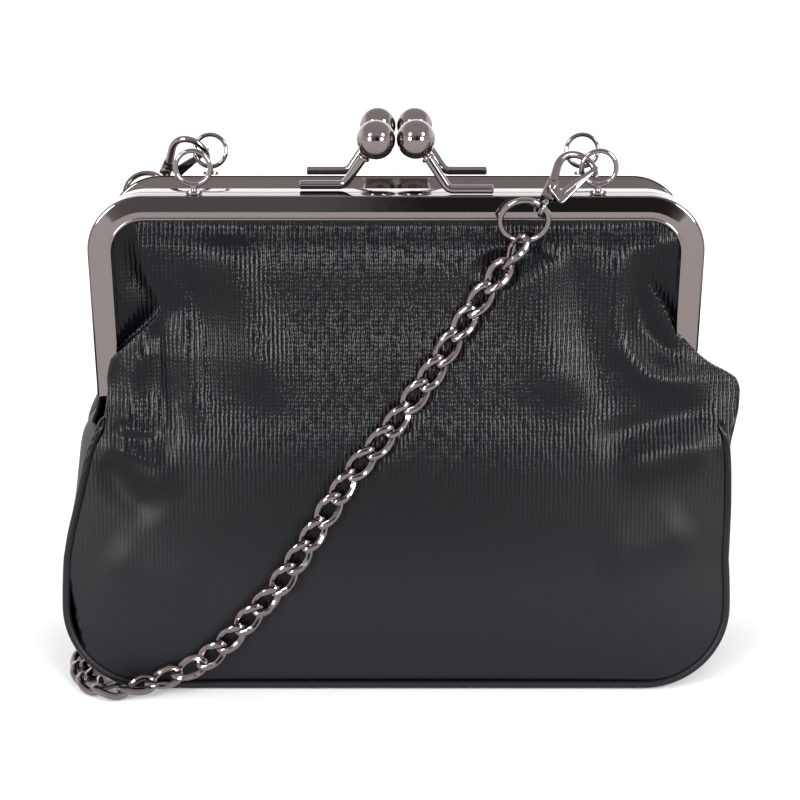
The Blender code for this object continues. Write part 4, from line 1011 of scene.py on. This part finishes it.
def seam_depth(z):
    share = z / HINGE_HEIGHT
    return (POUCH_BOTTOM_DEPTH + (POUCH_SHOULDER_DEPTH - POUCH_BOTTOM_DEPTH) * share) / 2


def frame_half_width(z, inset):
    middle = FRAME_HEIGHT - FRAME_CORNER_RADIUS
    if z <= middle:
        return FRAME_WIDTH / 2 - inset
    radius = FRAME_CORNER_RADIUS - inset
    rise = min(z - middle, radius)
    return FRAME_WIDTH / 2 - FRAME_CORNER_RADIUS + math.sqrt(radius**2 - rise**2)


def along_line(line, x, z):
    """For each place, its distance from a line and its share of the way along it."""
    best = np.full(x.shape, 1e9)
    share = np.zeros(x.shape)
    for k, (a, b) in enumerate(zip(line, line[1:])):
        run = np.array(b) - np.array(a)
        t = np.clip(((x - a[0]) * run[0] + (z - a[1]) * run[1]) / (run @ run), 0, 1)
        away = np.hypot(x - a[0] - t * run[0], z - a[1] - t * run[1])
        near = away < best
        best = np.where(near, away, best)
        share = np.where(near, (k + t) / (len(line) - 1), share)
    return best, share


def fold_height(x, z, folds):
    """How far the pressed folds stand out of (or lie in) the leather at each place."""
    total = np.zeros_like(x)
    for points, width, height in folds:
        line = smooth_line([Vector((px, pz, 0)) / 1000 for px, pz in points], 4)
        away, share = along_line([(p.x, p.y) for p in line], x, z)
        taper = smoothstep(0.0, FOLD_RISE_SHARE, share) * (1 - smoothstep(FOLD_FADE_SHARE, 1.0, share))
        total += FOLD_GAIN * height / 1000 * taper * np.exp(-((away * 1000 / width) ** 2))
    return total


def panel_rows():
    fine = np.linspace(PANEL_BOTTOM, PANEL_FINE_TOP, 12)[:-1]
    return np.concatenate([fine, np.linspace(PANEL_FINE_TOP, PANEL_TOP, 211)])


def edge_places(z, end, side, tuck):
    """Distance from the middle to the panel's outer edge, and above its switch to its fold line."""
    table = (RIGHT_EDGE if end > 0 else LEFT_EDGE) if side == FRONT else BACK_EDGE
    rows = [(h, pouch_half_width(h / 1000, EDGE_INSET) * 1000) for h in LOW_HEIGHTS]
    crest = np.minimum(millimetres(RIGHT_CREST if end > 0 else LEFT_CREST, z), tuck)
    return np.where(z < SIDES[end][-1], millimetres(rows + table, z), crest)


def side_strips(z, crest, at, tucked, tuck, end):
    """The leather past a side edge: into the channel above the switch, round to the seam below it."""
    steps, wraps, dips, switch = SIDES[end]
    step, wrap, dip = spline(steps, z * 1000), millimetres(wraps, z), millimetres(dips, z)
    turn_by = np.minimum(wrap, TURN_RADIUS)
    share = smoothstep(switch - SWITCH_BELOW, switch + SWITCH_ABOVE, z)
    xs, ys = [], []
    for k in range(1, SIDE_STRIPS + 1):
        t = k / SIDE_STRIPS
        out = max(0, (t - TUCK_START_SHARE) / (1 - TUCK_START_SHARE))
        high_x = crest + np.maximum(tuck - crest, 0) * out
        steep, slow = (smoothstep(*span, t) for span in (STEEP_FALL_SHARES, SLOW_FALL_SHARES))
        fall = steep * step + slow * (1 - step)
        high_y = at + (tucked - at) * fall - dip * math.sin(math.pi * min(1, t * DIP_RATE)) ** 2
        turn = math.pi / 2 * min(1, t / TURN_SHARE)
        back = max(0, (t - TURN_SHARE) / (1 - TURN_SHARE))
        low_x = crest + turn_by * TURN_REACH_SHARE * math.sin(turn) - TURN_IN * back
        low_y = at - turn_by * (1 - math.cos(turn)) - (wrap - turn_by) * back
        xs.append(end * (low_x + (high_x - low_x) * share))
        ys.append(low_y + (high_y - low_y) * share)
    return np.stack(xs[::end], axis=1), np.stack(ys[::end], axis=1)


def panel(name, side, lean):
    """One panel from the bottom seam to the frame's channel, in one sheet."""
    z = panel_rows()
    face = HINGE_SPREAD / 2 + HALF_FACE + (z - HINGE_HEIGHT) * math.tan(lean)
    tucked = face - SHEET_THICKNESS - TUCK_GAP
    over = face + OVER_GAP + LEATHER
    seam = np.array([seam_depth(h) for h in z]) + SEAM_GAP + LEATHER
    crest_depth = seam + (over - seam) * smoothstep(*CREST_SPAN, z)
    lean_more = (z - HINGE_HEIGHT) * (math.tan(lean) - math.tan(FRONT_FRAME_LEAN))
    middle = millimetres(MIDDLE_DEPTH, z) + np.where(z > HINGE_HEIGHT, lean_more, 0)
    in_frame = (z - HINGE_HEIGHT) / math.cos(lean)
    tuck = np.array([frame_half_width(h, TUCK) if h > 0 else 1 for h in in_frame])
    left, right = (edge_places(z, end, side, tuck) for end in (-1, 1))
    u = np.linspace(-1, 1, PANEL_COLUMNS)[None, :]
    u = (u + np.sin(u * math.pi / 2)) / 2
    xs = np.where(u < 0, u * left[:, None], u * right[:, None])
    zs = np.repeat(z[:, None], u.shape[1], axis=1)
    crown = 1 - np.abs(u) ** spline(SIDE_POWER, z * 1000)[:, None]
    depth = crest_depth[:, None] + (middle - crest_depth)[:, None] * crown
    free = (1 - smoothstep(*FREE_TOP_SPAN, zs)) * smoothstep(*FREE_BOTTOM_SPAN, zs)
    free *= 1 - SIDE_STILLNESS * smoothstep(*FREE_SIDE_SPAN, np.abs(u))
    depth += fold_height(xs, zs, FRONT_FOLDS) * free
    depth += (tucked[:, None] - depth) * smoothstep(*TUCK_SPAN, z)[:, None]
    if side == FRONT:
        depth = under_chain(xs, zs, depth)
    left_strips = side_strips(z, left, depth[:, 0], tucked, tuck, -1)
    right_strips = side_strips(z, right, depth[:, -1], tucked, tuck, 1)
    xs, depth = (np.concatenate(c, axis=1) for c in zip(left_strips, (xs, depth), right_strips))
    zs = np.repeat(z[:, None], xs.shape[1], axis=1)
    points = np.stack([xs, side * depth, zs], axis=-1).reshape(-1, 3)
    faces = grid_faces(*xs.shape)
    sheet = object_from(name, points, faces if side == FRONT else [f[::-1] for f in faces], LEATHER_LOOK)
    thicken(sheet, PANEL_SHEET, -1, rim_only=True)
    sheet.data.shade_smooth()
    return sheet


def under_chain(x, z, depth):
    """Presses the leather back where the chain lies on it, so that they touch but don't cross."""
    line, floor_start, _ = chain_line()
    near = np.array([tuple(p) for p in line[: floor_start + 1 : 2]])
    away = np.hypot(x[..., None] - near[:, 0], z[..., None] - near[:, 2])
    k = away.argmin(axis=-1)
    clearance = CHAIN_CLEARANCE + CHAIN_TOP_CLEARANCE * smoothstep(*CHAIN_TOP_SPAN, z)
    beside = np.maximum(away.min(axis=-1) - CHAIN_PRESS_REACH, 0)
    return np.minimum(depth, -near[k, 1] - clearance + beside * CHAIN_PRESS_SLOPE)


def seam_half_width(z, end, side, inset=0.0):
    """Distance of a side seam from the middle at height z."""
    even = pouch_half_width(z, inset)
    table = RIGHT_SEAM if end > 0 else LEFT_SEAM
    if side == BACK or z * 1000 <= table[0][0]:
        return even
    return millimetres(table, z) - inset


def u_path(side, inset, top, side_steps=44, corner_steps=20, bottom_steps=30):
    """Points (across, height) of a seam, from the left top round to the right top."""
    corner = POUCH_CORNER_RADIUS
    low, radius = POUCH_WIDTH / 2 - corner, corner - inset
    heights = [top + (corner - top) * k / side_steps for k in range(side_steps)]
    angles = [math.pi / 2 * k / corner_steps for k in range(corner_steps + 1)]
    turn = [(low + radius * math.cos(a), corner - radius * math.sin(a)) for a in angles]
    left, right = ([(seam_half_width(z, end, side, inset), z) for z in heights] + turn for end in (-1, 1))
    bottom = [(-low + 2 * low * k / bottom_steps, inset) for k in range(1, bottom_steps)]
    return [(-x, z) for x, z in left] + bottom + right[::-1]


def gusset():
    """The band between the panels: soft, creased down the middle of each side, with a bound top edge."""
    columns = []
    for share in np.sin(np.linspace(-1, 1, 37) * math.pi / 2):
        top = HINGE_HEIGHT - GUSSET_TOP_DROP * smoothstep(*GUSSET_PEAK_SHARES, abs(share))
        column = []
        for (front_x, z), (back_x, _) in zip(u_path(FRONT, 0.0, top), u_path(BACK, 0.0, top)):
            x = front_x + (back_x - front_x) * (share + 1) / 2
            end = 1 if x > 0 else -1
            bulge = millimetres(GUSSET_BULGE, z) * (1 - share**2)
            crease = millimetres(GUSSET_CREASE, z) * math.exp(-((share / GUSSET_CREASE_SHARE) ** 2))
            column.append(Vector((x + end * (bulge - crease), share * seam_depth(z), z)))
        columns.append(column)
    vertices = [p for column in columns for p in column]
    band = object_from("gusset_look", vertices, grid_faces(len(columns), len(columns[0])), SIDE_LOOK)
    thicken(band, GUSSET_SHEET, 1)
    parts = [mesh_of(band)]
    for at, end in ((0, -1), (-1, 1)):
        edge = [column[at] - Vector((end * GUSSET_SHEET / 2, 0, BINDING / 2)) for column in columns]
        swells = [sum(size * math.sin(rate * k) for size, rate in BINDING_WAVES) for k in range(len(edge))]
        parts.append(tube(edge, [BINDING * (1 + swell) for swell in swells], 12, X))
    leather_piece("gusset", together(parts), SIDE_LOOK)


def leather_piece(node, mesh, look):
    """A soft piece in place of a leather node."""
    made = object_from(f"{node}_look", *mesh, look)
    outward(made)
    stand_for(made, node)


def piping(name, side):
    """The round cord in the seam between a panel and the gusset, with its ends turned in at the top."""
    inset, offset = PIPING_DIAMETER / 2 + PIPING_INSET, PIPING_DIAMETER / 2 + SEAM_GAP
    path = u_path(side, inset, HINGE_HEIGHT - GUSSET_TOP_DROP)
    points = [Vector((x, side * (seam_depth(z) + offset), z)) for x, z in path]
    before = [points[0] + Vector((dx, -side * dy, dz)) for dx, dy, dz in reversed(PIPING_TURNS)]
    after = [points[-1] + Vector((-dx, -side * dy, dz)) for dx, dy, dz in PIPING_TURNS]
    points = before + points + after
    mesh = tube(points, [PIPING_DIAMETER / 2] * len(points), 14, Y)
    leather_piece(f"{name}_piping", mesh, LEATHER_LOOK)


def panels():
    for name, side, lean in (("front", FRONT, FRONT_FRAME_LEAN), ("back", BACK, BACK_FRAME_LEAN)):
        made = panel(f"{name}_leather", side, lean)
        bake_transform(made)
        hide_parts(f"{name}_panel", f"{name}_fold", f"{name}_panel_upper")


def dress_frame():
    """Finishes for the CAD nodes that stay in view."""
    looks = {"metal": METAL_LOOK, "chain_metal": CHAIN_LOOK, "leather": LEATHER_LOOK, "lining": LINING_LOOK}
    slots = {s["node"]: s["material_slot"] for s in frame["record"]["subparts"]}
    for name, node in frame["nodes"].items():
        node.data.materials.clear()
        node.data.materials.append(looks[slots[name]])


def soft_sun(name, place, breadth, strength):
    light = bpy.data.lights.new(name, "SUN")
    light.angle = math.radians(breadth)
    light.energy = strength
    aimed(name, light, Vector(place))


def ramp_of(tree, value, stops):
    """A colour ramp of greys over a value: stops are (place, shade)."""
    ramp = tree.nodes.new("ShaderNodeValToRGB")
    ramp.color_ramp.interpolation = "EASE"
    elements = ramp.color_ramp.elements
    elements[1].position = stops[-1][0]
    for k, (place, shade) in enumerate([stops[0], stops[-1]] + stops[1:-1]):
        element = elements[k] if k < 2 else elements.new(place)
        element.color = (shade, shade, shade, 1)
    feed(tree, ramp, {"Fac": value})
    return ramp.outputs["Color"]


def studio():
    corners = [(x * FLOOR_REACH, y * FLOOR_REACH, 0) for x, y in ((-1, -1), (1, -1), (1, 1), (-1, 1))]
    floor = object_from("floor", corners, [(0, 1, 2, 3)], floor_look())
    floor.location.z = -FLOOR_DROP
    world = bpy.data.worlds.new("studio")
    bpy.context.scene.world = world
    world.use_nodes = True
    tree = world.node_tree
    x, y, z = split_axes(tree, coordinates_of(tree, "Generated"))
    tables = (BEHIND_SHADES, AHEAD_LEFT_SHADES, AHEAD_SHADES, BESIDE_SHADES)
    behind, ahead_left, ahead, beside = (ramp_of(tree, z, table) for table in tables)
    front = mixed(tree, ranged(tree, x, *AHEAD_SPAN), ahead_left, ahead)
    front = mixed(tree, ranged(tree, y, *BESIDE_SPAN), front, beside)
    shade = mixed(tree, ranged(tree, y, *BEHIND_SPAN), front, behind)
    tree.links.new(shade, tree.nodes["Background"].inputs["Color"])
    for light in LIGHTS:
        soft_sun(*light)


def floor_look():
    made, shader, tree = new_material("floor_look")
    feed(tree, shader, {"Base Color": FLOOR_SHADE, "Roughness": 1.0, "Specular IOR Level": 0.0})
    return made


camera()
chain_runs()
panels()
gusset()
piping("front", FRONT)
piping("back", BACK)
metalwork()
dress_frame()
studio()
